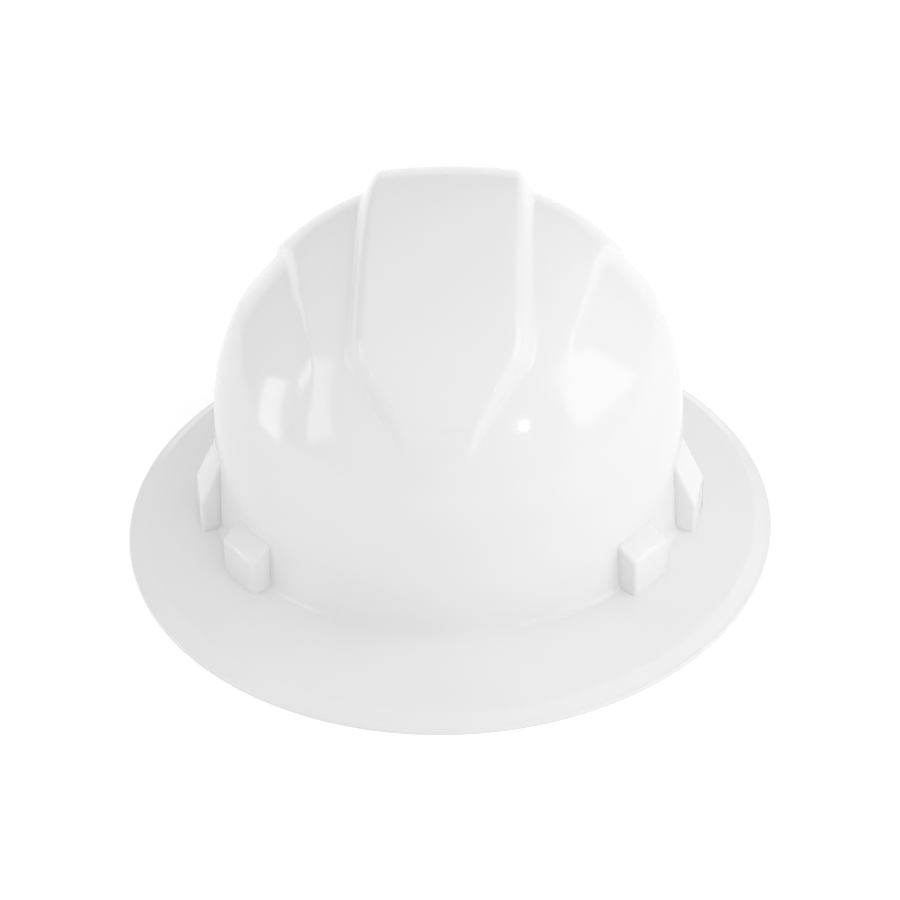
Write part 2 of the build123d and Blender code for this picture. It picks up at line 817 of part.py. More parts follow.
def pinion_outline():
    """Involute pinion, with a tooth space straight up and straight down."""
    base = pitch_radius * math.cos(math.radians(pressure_angle))
    tip = pitch_radius + pinion_tip_share * tooth_module
    root = pitch_radius - pinion_root_share * tooth_module

    def involute(angle):
        return math.tan(angle) - angle

    def half_angle(radius):
        at_pitch = math.pi / (2 * pinion_teeth) - tooth_backlash / (4 * pitch_radius)
        rolled = involute(math.radians(pressure_angle)) - involute(math.acos(base / radius))
        return at_pitch + rolled

    flank = [base, (base + pitch_radius) / 2, pitch_radius, (pitch_radius + tip) / 2, tip]
    points = []
    for count in range(pinion_teeth):
        middle = 2 * math.pi * (count + 0.5) / pinion_teeth + math.pi / 2
        rise = [(root, half_angle(base))] + [(radius, half_angle(radius)) for radius in flank]
        for radius, half in rise:
            points.append((radius * math.cos(middle - half), radius * math.sin(middle - half)))
        for radius, half in reversed(rise):
            points.append((radius * math.cos(middle + half), radius * math.sin(middle + half)))
    return points


def ratchet_pinion():
    """Pinion with its journal in the nape plate and its shaft through the cover."""
    start = band_rear_y + band_outer + gear_side_gap
    end = band_rear_y + strap_space_radius - clearance - gear_side_gap
    gear = extrude(drive_plane(start) * make_face(Polyline(*pinion_outline(), close=True)), amount=end - start)
    journal = disc(journal_radius, band_rear_y + band_inner, start)
    shaft = disc(shaft_radius, end, knob_face_y - knob_top_thickness - clearance)
    pilot = disc(
        screw_shank_radius + screw_clearance,
        knob_face_y - screw_recess_depth - screw_length - clearance,
        knob_face_y,
    )
    return gear + journal + shaft - pilot


def screw_hole(angle, sign, radius, inner, outer):
    """Round plug along a radius of the housing, for a cover screw or its hole."""
    height = ratchet_height + sign * (nape_strap_height / 2 + clearance + housing_half_height) / 2
    turn = math.radians(angle)
    outward = (math.sin(turn), math.cos(turn), 0)
    plane = Plane(origin=rear_place(inner, angle, height), x_dir=(0, 0, 1), z_dir=outward)
    return extrude(plane * Circle(radius), amount=outer - inner)


def cover_screw_places():
    """The four corners of the housing."""
    return [(side * cover_screw_angle, sign) for side in (1, -1) for sign in (1, -1)]


def nape_plate():
    """Bent plate behind the nape that carries the ratchet and hangs on the rear keys."""
    low = ratchet_height - housing_half_height
    high = ratchet_height + housing_half_height
    wings = arc_strip(band_inner, band_outer, -nape_end_angle, nape_end_angle, nape_bottom, band_top)
    wings = rounded_ends(wings, band_thickness, band_corner)
    spread = housing_half_angle + centre_spread_angle
    centre = arc_strip(band_inner, band_outer, -spread, spread, low, high)
    plate = wings + rounded_ends(centre, band_thickness, centre_corner)
    for side in (1, -1):
        plate = plate + guide(side * (housing_half_angle + band_end_angle + guide_length_angle) / 2)
    for name in ("rear_left", "rear_right"):
        plate = plate - post_slot(socket_angles()[name])
    plate = plate - disc(journal_radius + running_clearance, band_rear_y + band_inner - overrun, knob_face_y)
    for angle, sign in cover_screw_places():
        radius = cover_screw_shank_radius + screw_clearance
        plate = plate - screw_hole(angle, sign, radius, band_inner - overrun, band_outer + overrun)
    return plate


def ratchet_cover():
    """Cover over the racks, with the bearing for the pinion and a notched ring for the detent."""
    low = ratchet_height - housing_half_height
    high = ratchet_height + housing_half_height
    body = arc_strip(
        band_outer, cover_radius, -housing_half_angle, housing_half_angle, low, high
    )
    body = rounded_ends(body, cover_radius - band_outer, cover_corner)
    channel = arc_strip(
        band_outer - overrun,
        strap_space_radius,
        -housing_half_angle - overrun_angle,
        housing_half_angle + overrun_angle,
        strap_low - clearance,
        strap_high + clearance,
    )
    body = body - channel
    pad_y = knob_base_y - clearance
    inside_y = band_rear_y + strap_space_radius + cover_thickness * cover_ring_root_share
    inner_side = Cylinder(strap_space_radius + cover_thickness * cover_pad_root_share, 2 * high)
    body = body + (disc(cover_pad_radius, band_rear_y, pad_y) - Pos(0, band_rear_y, high) * inner_side)
    ring = disc(detent_radius + detent_ring_thickness, inside_y, pad_y + detent_ring_height)
    ring = ring - disc(detent_radius, inside_y - overrun, knob_face_y)
    notches = []
    notch_side = detent_notch_depth * math.sqrt(2)
    for count in range(detent_count):
        place = drive_plane(pad_y) * Rot(0, 0, 360 * count / detent_count) * Pos(detent_radius, 0)
        notch = place * Rot(0, 0, 45) * Rectangle(notch_side, notch_side)
        notches.append(extrude(notch, amount=detent_ring_height + overrun))
    body = body + (ring - notches)
    body = body - disc(shaft_radius + running_clearance, band_rear_y + band_outer, knob_face_y)
    for angle, sign in cover_screw_places():
        radius = cover_screw_shank_radius + screw_clearance
        body = body - screw_hole(angle, sign, radius, band_outer - overrun, cover_radius + overrun)
    return body


def ratchet_knob():
    """Hollow thumb wheel with grip scallops round its rim."""
    body = disc(knob_radius, knob_base_y, knob_face_y)
    face_edge = body.edges().sort_by(Axis.Y)[-1]
    body = chamfer(face_edge, knob_bevel)
    hollow = disc(knob_radius - knob_wall, knob_base_y - overrun, knob_face_y - knob_top_thickness)
    body = body - hollow
    grips = []
    for count in range(knob_grip_count):
        turn = 2 * math.pi * count / knob_grip_count
        away = knob_radius + knob_grip_radius - knob_grip_depth
        place = drive_plane(knob_base_y - overrun) * Pos(away * math.cos(turn), away * math.sin(turn))
        grips.append(extrude(place * Circle(knob_grip_radius), amount=knob_depth + 2 * overrun))
    body = body - grips
    hub_y = knob_base_y + clearance
    body = body + disc(knob_hub_radius, hub_y, knob_face_y - knob_top_thickness)
    body = body - disc(shaft_radius + screw_clearance, hub_y - overrun, knob_face_y - knob_top_thickness)
    body = body - disc(screw_shank_radius + screw_clearance, knob_base_y, knob_face_y + overrun)
    return body - disc(screw_head_radius + clearance, knob_face_y - screw_recess_depth, knob_face_y + overrun)


def pawl_arm(radius):
    """Bent arm of the detent spring, drawn about its own axis."""
    turn = math.radians(pawl_arm_angle)

    def at(reach, angle):
        return reach * math.cos(angle), reach * math.sin(angle)

    outer = radius + pawl_arm_width / 2
    inner = radius - pawl_arm_width / 2
    outline = Curve() + [
        ThreePointArc(at(outer, 0), at(outer, turn / 2), at(outer, turn)),
        Line(at(outer, turn), at(inner, turn)),
        ThreePointArc(at(inner, turn), at(inner, turn / 2), at(inner, 0)),
        Line(at(inner, 0), at(outer, 0)),
    ]
    return make_face(outline)


def detent_spring():
    """Ring on the knob's hub with two springy arms that click in the cover's notches."""
    start = knob_base_y + clearance
    inner = knob_hub_radius + clearance
    outer = inner + pawl_ring_width
    tip_reach = detent_radius - clearance
    tip_centre = tip_reach - pawl_tip_radius
    arm_radius = tip_centre - pawl_arm_width / 2
    root = inner + pawl_ring_width / 2
    ring = Circle(outer) - Circle(inner)
    for half_turn in (0, 180):
        spoke = Pos((root + arm_radius) / 2, 0) * Rectangle(arm_radius - root, pawl_spoke_width)
        tip = Rot(0, 0, pawl_arm_angle) * Pos(tip_centre, 0) * Circle(pawl_tip_radius)
        ring = ring + Rot(0, 0, half_turn) * (spoke + pawl_arm(arm_radius) + tip)
    return extrude(drive_plane(start) * ring, amount=pawl_ring_thickness)


def knob_screw():
    """Screw that holds the knob on the pinion's shaft."""
    seat = knob_face_y - screw_recess_depth
    head = disc(screw_head_radius, seat, seat + screw_head_height)
    return head + disc(screw_shank_radius, seat - screw_length, seat)


def cover_screws():
    """Four screws that hold the cover to the nape plate."""
    screws = []
    for angle, sign in cover_screw_places():
        shank = screw_hole(angle, sign, cover_screw_shank_radius, band_inner, cover_radius)
        head = screw_hole(angle, sign, cover_screw_head_radius, cover_radius, cover_radius + screw_head_height)
        screws.append(shank + head)
    return Compound(children=screws)


def nape_pad():
    """Soft pad on the inside of the nape plate."""
    outer = band_inner - clearance
    return arc_strip(
        outer - nape_pad_thickness, outer, -nape_pad_angle, nape_pad_angle, nape_pad_bottom, nape_pad_top
    )


def all_parts():
    """Every sub-part by name."""
    parts = {"shell": shell()}
    for name, angle in socket_angles().items():
        parts["key_" + name] = key(angle)
    low_layer = crown_clear_height - crown_layer
    parts["crown_strap_left_front"] = crown_strap(front_socket_angle, -rear_socket_angle, low_layer)
    parts["crown_strap_right_front"] = crown_strap(-front_socket_angle, rear_socket_angle, crown_clear_height)
    side_crown = crown_clear_height + side_strap_lift
    parts["crown_strap_side"] = crown_strap(side_socket_angle, -side_socket_angle, side_crown)
    parts["crown_pad"] = crown_pad()
    parts["headband"] = headband()
    parts["brow_pad"] = brow_pad()
    parts["nape_strap_left"] = nape_strap(1, inner_strap_radius, True)
    parts["nape_strap_right"] = nape_strap(-1, outer_strap_radius, False)
    parts["nape_plate"] = nape_plate()
    parts["nape_pad"] = nape_pad()
    parts["ratchet_cover"] = ratchet_cover()
    parts["ratchet_knob"] = ratchet_knob()
    parts["ratchet_pinion"] = ratchet_pinion()
    parts["detent_spring"] = detent_spring()
    parts["knob_screw"] = knob_screw()
    parts["cover_screws"] = cover_screws()
    return parts


os.makedirs("parts", exist_ok=True)
for part_name, part in all_parts().items():
    export_step(part, f"parts/{part_name}.step")
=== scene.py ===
import json
import math

import bmesh
import bpy
from mathutils import Matrix, Vector


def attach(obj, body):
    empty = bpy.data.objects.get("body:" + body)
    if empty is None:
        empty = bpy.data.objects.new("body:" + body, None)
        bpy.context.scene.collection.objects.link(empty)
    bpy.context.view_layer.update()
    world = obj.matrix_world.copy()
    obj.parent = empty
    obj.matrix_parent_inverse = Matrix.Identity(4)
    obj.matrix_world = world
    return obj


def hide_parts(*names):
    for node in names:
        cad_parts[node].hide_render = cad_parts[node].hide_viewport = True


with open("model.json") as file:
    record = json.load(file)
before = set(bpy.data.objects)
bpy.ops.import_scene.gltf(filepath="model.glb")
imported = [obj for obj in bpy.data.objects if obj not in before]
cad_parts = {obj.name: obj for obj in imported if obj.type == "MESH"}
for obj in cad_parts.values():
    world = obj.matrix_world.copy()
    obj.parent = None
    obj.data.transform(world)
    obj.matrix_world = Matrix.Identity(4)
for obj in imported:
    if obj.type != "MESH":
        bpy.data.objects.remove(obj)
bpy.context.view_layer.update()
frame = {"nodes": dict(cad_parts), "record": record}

# A white full brim hard hat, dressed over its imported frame.
# Everything is in metres, in the frame's own axes: the front faces -Y and up is +Z.
# The shell is one smooth skin whose mesh lines follow the ridge and the flutes.

# Brim, as in the part
brim_half_width = 0.139
brim_half_length = 0.159
lip_width = 0.007
lip_drop = 0.005
lip_land = 0.0012
root_height = 0.0104
root_fillet = 0.003
lip_round = 0.0009

# Dome, as in the part
wall = 0.0025
dome_half_width = 0.1026
dome_half_length = 0.1139
dome_centre_y = 0.0075
dome_height = 0.141
wall_draft = math.radians(2.7)
shoulder_radius = 0.085
crown_radius = 0.1255

# Ridge, as in the part, with the rounding of its edges and of its foot
ridge_half_width = 0.0315
ridge_height = 0.005
ridge_edge_drop = 0.002
ridge_side_slope = 1.7
ridge_slope_angles = (0.0, 36.0, 41.0, 50.0, 60.0, 68.0, 80.0)
ridge_width_shares = (1.0, 1.0, 0.96, 0.74, 0.48, 0.36, 0.36)
ridge_height_shares = (1.0, 1.0, 1.0, 0.9, 0.56, -0.5, -1.2)
ridge_foot_blends = (0.0011, 0.0011, 0.0011, 0.0014, 0.0026, 0.004, 0.004)
ridge_edge_round = 0.0024
ridge_skirt = 0.0024

# Flutes, as in the part, but their lower ends run out more softly on the wall.
# Each list follows a flute from its upper end behind to its lower end in front.
flute_depth = 0.003
flute_hollow = 0.0012
flute_crease_x_shares = (0.68, 0.74, 0.735, 0.70, 0.63, 0.59, 0.547, 0.521, 0.52, 0.529, 0.536)
flute_crease_y_shares = (0.675, 0.47, 0.36, 0.215, -0.04, -0.25, -0.41, -0.58, -0.69, -0.75, -0.7938)
flute_edge_x_shares = (0.77, 0.79, 0.84, 0.875, 0.85, 0.80, 0.78, 0.757, 0.735, 0.715, 0.70)
flute_edge_y_shares = (0.575, 0.42, 0.27, 0.10, -0.14, -0.34, -0.44, -0.53, -0.60, -0.635, -0.66)
flute_depth_shares = (0.0, 0.0, 0.5, 1.0, 1.0, 0.95, 0.74, 0.42, 0.2, 0.06, 0.0)
flute_rim_share = 1.2
flute_rim_rise = 0.0012
flute_rim_blend = 0.0007
flute_crease_halfs = (0.003, 0.0028, 0.0024, 0.0027, 0.0038, 0.0052, 0.0064, 0.0074, 0.0082, 0.0088, 0.0088)

# Mesh of the skin
patch_angle = math.radians(80.0)
side_front_angle = math.radians(48.0)
side_rear_angle = math.radians(112.0)
row_count = 150
flat_columns = 10
edge_columns = 7
slope_columns = 5
shoulder_columns = 12
crease_columns = 8
flute_columns = 12
margin_columns = 5
wall_rings = 16
fillet_rings = 6
slope_rings = 8
lip_rings = 4
round_rings = 4
half_columns = flat_columns + edge_columns + slope_columns
half_columns += shoulder_columns + crease_columns + flute_columns + margin_columns
section_rounds = 5
station_rounds = 24
least_radius = 1e-6
least_square = 1e-8

# Socket bosses: degrees round from the front, height of the face and height of the roof
bosses = {
    "front": (51.0, 0.025, 0.0315),
    "side": (77.5, 0.023, 0.045),
    "rear": (130.0, 0.025, 0.0315),
}
sides = {"left": 1, "right": -1}
socket_turns = {
    f"{name}_{side}": sign * boss[0] for name, boss in bosses.items() for side, sign in sides.items()
}
boss_half_width = 0.012
boss_proud = 0.0075
boss_sunk = 0.0016
boss_bottom = 0.0091
boss_round = 0.0016
boss_round_steps = 4
pocket_near = 0.0009
pocket_far = 0.0045
pocket_half_width = 0.0083
pocket_top = 0.0242
pocket_overrun = 0.002
hard_edge_angle = math.radians(38)
inner_smooth_height = 0.05
inner_smooth_rounds = 8
inner_smooth_share = 0.5

# Suspension, as in the part
clearance = 0.0003
key_plate_outer = 0.0087
key_plate_inner = 0.0115
key_plate_top = 0.042
key_bar_height = 0.004
strap_width = 0.019
strap_thickness = 0.0013
strap_spring_height = 0.046
band_rear_radius = 0.0809
band_rear_y = 0.017
band_front_radius = 0.0578
band_front_y = -0.0322
band_thickness = 0.0018
brow_pad_bottom = 0.017
brow_pad_top = 0.0385
brow_pad_rear_y = -0.012
brow_pad_thickness = 0.004
nape_pad_radius = 0.0797
nape_pad_angle = math.radians(36)
nape_pad_bottom = 0.012
nape_pad_top = 0.042
nape_pad_thickness = 0.0038
crown_pad_radius = 0.029
crown_pad_top = 0.1004
crown_pad_drop = 0.0031
crown_pad_thickness = 0.004

# Crown straps, from the lowest up: the sockets of their two ends, and the height of their middle
crown_straps = {
    "crown_strap_left_front": ("front_left", "rear_right", 0.102),
    "crown_strap_right_front": ("front_right", "rear_left", 0.104),
    "crown_strap_side": ("side_left", "side_right", 0.106),
}
strap_columns = 8
arch_steps = 48
fold_round = 0.0010
fold_steps = 5
lay_gap = 0.0001
cloth_share = 0.92
selvedge_share = 0.25
selvedge_angle = math.radians(60)

# Sewing
tail_length = 0.011
tail_seam_share = 0.8
tail_seam_half_share = 0.36
thread_radius = 0.00028
thread_length = 0.0021
thread_step = 0.0029
thread_lift_share = 0.2
seam_inset = 0.003
seam_depth = 0.0008
seam_spread = 0.0009

# Swell of the pads
pad_columns = 56
pad_rows = 120
pad_end_round = 0.009
pad_end_power = 0.6
pad_fullness = 3.0
pad_thinning = 0.25
disc_rings = 30
disc_turns = 144
disc_fullness = 8
disc_seam_share = 1.3
channel_angle = math.radians(60)
channel_start = 0.003
channel_run_in = 0.004
channel_run_out = 0.003
weld_gap = 0.00001

# Plastics, yarn and steel: darker and lighter tone, limits of the roughness, scale and height of the grain,
# scale of the tone, scale of the marks, refraction and share of metal
plain_looks = {
    "band_plastic": ((0.018, 0.018, 0.020), (0.026, 0.026, 0.028), (0.38, 0.52), 1400.0, 0.00003),
    "key_plastic": ((0.016, 0.016, 0.018), (0.024, 0.024, 0.026), (0.34, 0.5), 1200.0, 0.00003),
    "ratchet_plastic": ((0.014, 0.014, 0.016), (0.02, 0.02, 0.022), (0.45, 0.6), 2200.0, 0.00006),
    "pinion_plastic": ((0.62, 0.61, 0.56), (0.68, 0.67, 0.63), (0.3, 0.42), 900.0, 0.00002),
    "yarn": ((0.07, 0.07, 0.075), (0.10, 0.10, 0.105), (0.6, 0.75), 4000.0, 0.00008),
    "screw_steel": (
        (0.55, 0.56, 0.58), (0.68, 0.68, 0.67), (0.25, 0.42), 2500.0, 0.00002, 300.0, 500.0, 1.5, 1.0,
    ),
}

# White of the shell, webbing with the steps of its weave, and knit of the pads
white_tones = ((0.855, 0.855, 0.855), (0.875, 0.875, 0.875))
white_roughness = (0.09, 0.15)
# The webbing's darker tone is painted shade, laid into the weave's grooves and dips
webbing_tones = ((0.012, 0.012, 0.014), (0.05, 0.05, 0.056))
webbing_roughness = (0.68, 0.85)
warp_step = 0.0011
weft_step = 0.0016
weft_dip = 0.35
knit_tones = ((0.026, 0.026, 0.029), (0.008, 0.008, 0.009))
knit_roughness = (0.78, 0.95)
knit_scale = 850.0

# Studio: the surround's light on the left and on the right, and the floor
surround_left = 0.555
surround_right = 0.93
floor_half_size = 30
floor_white = (0.9, 0.9, 0.9, 1)
floor_glow = 0.28

# Lamps: degrees round from the front and up from the floor, distance, width, height, power,
# degrees of tilt, and whether it shows in reflections
lamps = {
    "box_right": (92, 25, 1.6, 0.95, 0.85, 2.8, 0, True),
    "box_left": (-96.5, 6, 1.6, 0.30, 0.64, 1.4, 32, True),
    "strip_left": (-76.5, 23, 1.7, 0.52, 1.1, 2.8, 42, True),
    "box_front": (45, 27, 1.7, 0.14, 0.14, 0.6, 0, True),
    "fill_front": (20, 37, 1.9, 1.3, 1.0, 5.0, 0, False),
}
lamp_target = Vector((0, 0, 0.08))

# Camera, fitted to the photograph
lens_length = 110.0
sensor_width = 36.0
nearest_seen = 0.01
camera_distance = 1.2
camera_azimuth = math.radians(2.5)
camera_elevation = math.radians(32.9)
camera_lift = math.radians(1.289)
camera_roll = math.radians(1.3)
camera_shift = -0.0012

# Worked out from the values above
draft_slope = math.tan(wall_draft)
dome_ratio = dome_half_length / dome_half_width
crown_centre_z = dome_height - crown_radius
root_half_width = dome_half_width - root_height * draft_slope
root_half_length = root_half_width * dome_ratio
side_slope = (root_height - lip_drop) / (brim_half_width - lip_width - root_half_width)
band_lean = math.asin((band_rear_radius - band_front_radius) / (band_rear_y - band_front_y))
brow_outer = -band_thickness / 2 - clearance


def shoulder_centre():
    """Centre of the shoulder arc, tangent to the drafted wall and to the crown arc."""
    offset = dome_half_width - shoulder_radius / math.cos(wall_draft)
    half = offset * draft_slope + crown_centre_z
    steep = 1 + draft_slope ** 2
    rest = offset ** 2 + crown_centre_z ** 2 - (crown_radius - shoulder_radius) ** 2
    height = (half + math.sqrt(half ** 2 - steep * rest)) / steep
    return offset - height * draft_slope, height


shoulder_x, shoulder_z = shoulder_centre()
joint_angle = math.atan2(shoulder_x, shoulder_z - crown_centre_z)
joint_radius = crown_radius * math.sin(joint_angle)
wall_end_z = shoulder_z + shoulder_radius * math.sin(wall_draft)


def mix(low, high, share):
    return low + (high - low) * share


def ease(share):
    share = min(1.0, max(0.0, share))
    return share * share * (3 - 2 * share)


def between(value, stations, numbers):
    """Number at a value, read straight between stations that rise."""
    for count in range(len(stations) - 1):
        if value <= stations[count + 1]:
            share = (value - stations[count]) / (stations[count + 1] - stations[count])
            return mix(numbers[count], numbers[count + 1], max(0.0, share))
    return numbers[-1]


def along_line(numbers, step):
    """Smooth value at a step along a list, through every number in it."""
    last = len(numbers) - 1
    low = min(int(step), last - 1)
    part = step - low
    before, start, end, after = (numbers[min(max(low + k, 0), last)] for k in (-1, 0, 1, 2))
    rise_start = (end - before) / 2
    rise_end = (after - start) / 2
    square = part * part
    cube = square * part
    return (
        start * (2 * cube - 3 * square + 1)
        + rise_start * (cube - 2 * square + part)
        + end * (3 * square - 2 * cube)
        + rise_end * (cube - square)
    )


def smooth_max(first, second, blend):
    gap = abs(first - second)
    rounding = max(blend - gap, 0.0)
    return max(first, second) + rounding * rounding / (4 * blend)


def profile(angle):
    """Radius and height of the dome's side section where its normal leans by angle."""
    if angle < joint_angle:
        return crown_radius * math.sin(angle), crown_centre_z + crown_radius * math.cos(angle)
    return shoulder_x + shoulder_radius * math.sin(angle), shoulder_z + shoulder_radius * math.cos(angle)


def dome_at(x, y):
    """Point on the dome over a place in plan, and the outward normal there."""
    away = (y - dome_centre_y) / dome_ratio
    radius = max(math.hypot(x, away), least_radius)
    if radius < joint_radius:
        rise = math.sqrt(crown_radius ** 2 - radius ** 2)
        height = crown_centre_z + rise
        slope = radius / rise
    else:
        rise = math.sqrt(max(shoulder_radius ** 2 - (radius - shoulder_x) ** 2, least_square))
        height = shoulder_z + rise
        slope = (radius - shoulder_x) / rise
    normal = Vector((slope * x / radius, slope * away / (radius * dome_ratio), 1)).normalized()
    return Vector((x, y, height)), normal


def plan_polar(x, y):
    """Angle round from the front and lean of the dome's normal, over a place in plan."""
    away = (y - dome_centre_y) / dome_ratio
    radius = math.hypot(x, away)
    if radius < joint_radius:
        lean = math.asin(radius / crown_radius)
    else:
        lean = math.asin(min((radius - shoulder_x) / shoulder_radius, 1.0))
    return math.atan2(x, -away), lean


def polar_plan(turn, lean):
    """Place in plan where the dome's normal has a turn and a lean."""
    radius = profile(lean)[0]
    return radius * math.sin(turn), dome_centre_y - dome_ratio * radius * math.cos(turn)


def ridge_frame(row):
    """Origin, tangent, normal and lean of the ridge's section at a row, from -1 in front to 1 behind."""
    lean = abs(row) * patch_angle
    side = -1 if row < 0 else 1
    radius, height = profile(lean)
    normal = Vector((0, side * math.sin(lean), dome_ratio * math.cos(lean))).normalized()
    origin = Vector((0, dome_centre_y + side * dome_ratio * radius, height))
    return origin, Vector((0, normal.z, -normal.y)), normal, math.degrees(lean)


def dome_in_section(origin, tangent, normal, x):
    """Height of the dome over the section's level line at a distance x from the middle, and its y."""
    y = origin.y
    for _ in range(section_rounds):
        point = dome_at(x, y)[0]
        along = (point - origin).dot(tangent)
        y -= along * tangent.y
    return (dome_at(x, y)[0] - origin).dot(normal), y


def ridge_half(degrees):
    return ridge_half_width * between(degrees, ridge_slope_angles, ridge_width_shares)


def ridge_level(x, degrees):
    """Height of the ridge's own section, with its edges rounded."""
    width_share = between(degrees, ridge_slope_angles, ridge_width_shares)
    top = ridge_height * between(degrees, ridge_slope_angles, ridge_height_shares)
    half = ridge_half_width * width_share
    drop = ridge_edge_drop * width_share ** 2
    across = abs(x)
    crown = top - drop * (across / half) ** 2
    edge_slope = -2 * drop / half
    past = across - half
    if past < -ridge_edge_round:
        return crown
    flank = top - drop - past * ridge_side_slope
    if past > ridge_edge_round:
        return flank
    line = top - drop + past * edge_slope
    bend = (past + ridge_edge_round) ** 2 / (4 * ridge_edge_round)
    return line + (-ridge_side_slope - edge_slope) * bend


def ridge_point(row, x):
    """Point of the ridge or of the dome beside it."""
    origin, tangent, normal, degrees = ridge_frame(row)
    base, _ = dome_in_section(origin, tangent, normal, x)
    blend = between(degrees, ridge_slope_angles, ridge_foot_blends)
    height = smooth_max(base, ridge_level(x, degrees), blend)
    return origin + Vector((x, 0, 0)) + normal * height


def ridge_foot(row):
    """Half width at which the ridge has run out into the dome."""
    origin, tangent, normal, degrees = ridge_frame(row)
    half = ridge_half(degrees)
    level = dome_in_section(origin, tangent, normal, half)[0]
    proud = max(ridge_level(0, degrees) - ridge_edge_drop - level, 0)
    return half + proud / ridge_side_slope + ridge_skirt


def flute_station(row):
    """Place along the flute's stations that belongs to a row."""
    wanted = mix(flute_crease_y_shares[-1], flute_crease_y_shares[0], (row + 1) / 2)
    low = 0.0
    high = len(flute_crease_y_shares) - 1.0
    for _ in range(station_rounds):
        middle = (low + high) / 2
        if along_line(flute_crease_y_shares, middle) > wanted:
            low = middle
        else:
            high = middle
    return low


def flute_place(x_shares, y_shares, step):
    return (
        along_line(x_shares, step) * dome_half_width,
        dome_centre_y + along_line(y_shares, step) * dome_half_length,
    )


def flute_lines(row):
    """Plan places of a flute's crease and outer edge at a row, its depth and half its crease's width."""
    step = flute_station(row)
    crease = flute_place(flute_crease_x_shares, flute_crease_y_shares, step)
    edge = flute_place(flute_edge_x_shares, flute_edge_y_shares, step)
    depth = flute_depth * max(along_line(flute_depth_shares, step), 0.0)
    return crease, edge, depth, along_line(flute_crease_halfs, step)


def flute_sink(distance, span, depth, crease_half):
    """How far the skin lies under the dome at a distance outside the crease."""
    if depth <= 0:
        return 0.0
    share = max(distance, 0.0) / (span * flute_rim_share)
    if share > 1:
        return 0.0
    fill = depth / flute_depth
    floor = -depth + (depth + flute_rim_rise * fill) * share
    floor -= 4 * flute_hollow * fill * share * (1 - share)
    floor = -smooth_max(-floor, 0.0, flute_rim_blend * fill)
    return floor * ease((distance + crease_half) / (2 * crease_half))


def spread(count, low, high):
    """Even steps from low to high, without the first."""
    return [mix(low, high, step / count) for step in range(1, count + 1)]


def half_row(row):
    """Points of one row of the patch, from its middle to its left side."""
    degrees = abs(row) * math.degrees(patch_angle)
    half = ridge_half(degrees)
    foot = ridge_foot(row)
    places = [0.0]
    places += spread(flat_columns, 0, half - ridge_edge_round)
    places += spread(edge_columns, half - ridge_edge_round, half + ridge_edge_round)
    places += spread(slope_columns, half + ridge_edge_round, max(foot, half + 2 * ridge_edge_round))
    points = [ridge_point(row, x) for x in places]
    origin, tangent, normal, _ = ridge_frame(row)
    foot_y = dome_in_section(origin, tangent, normal, places[-1])[1]
    start = plan_polar(places[-1], foot_y)
    crease, edge, depth, crease_half = flute_lines(row)
    crease_polar = plan_polar(*crease)
    edge_polar = plan_polar(*edge)
    side_turn = mix(side_front_angle, side_rear_angle, (row + 1) / 2)
    end = (side_turn, patch_angle)
    span = (dome_at(*edge)[0] - dome_at(*crease)[0]).length
    before = crease_half / max((dome_at(*crease)[0] - points[-1]).length, crease_half)
    after = crease_half / max(span, 4 * crease_half)

    def lay(first, second, share, distance):
        turn = mix(first[0], second[0], share)
        lean = mix(first[1], second[1], share)
        point, out = dome_at(*polar_plan(turn, lean))
        points.append(point + out * flute_sink(distance, span, depth, crease_half))

    for share in spread(shoulder_columns, 0, 1 - before):
        lay(start, crease_polar, share, -crease_half)
    for step in range(1, crease_columns + 1):
        distance = mix(-crease_half, crease_half, step / crease_columns)
        if distance < 0:
            lay(start, crease_polar, 1 - before * -distance / crease_half, distance)
        else:
            lay(crease_polar, edge_polar, after * distance / crease_half, distance)
    for share in spread(flute_columns, after, 1):
        lay(crease_polar, edge_polar, share, share * span)
    gap = (dome_at(*polar_plan(*end))[0] - dome_at(*edge)[0]).length
    for share in spread(margin_columns, 0, 1):
        lay(edge_polar, end, share, span + share * gap)
    return points


def wall_point(turn, height):
    """Point of the dome's wall at an angle round from the front and a height."""
    if height > wall_end_z:
        radius = shoulder_x + math.sqrt(shoulder_radius ** 2 - (height - shoulder_z) ** 2)
    else:
        radius = dome_half_width - height * draft_slope
    return Vector((radius * math.sin(turn), dome_centre_y - dome_ratio * radius * math.cos(turn), height))


def oval_point(half_width, half_length, centre_y, turn, height):
    return Vector((half_width * math.sin(turn), centre_y - half_length * math.cos(turn), height))


def root_point(turn, out, height):
    return oval_point(root_half_width + out, root_half_length + out, dome_centre_y, turn, height)


def brim_point(turn, inward, height):
    return oval_point(brim_half_width - inward, brim_half_length - inward, 0, turn, height)


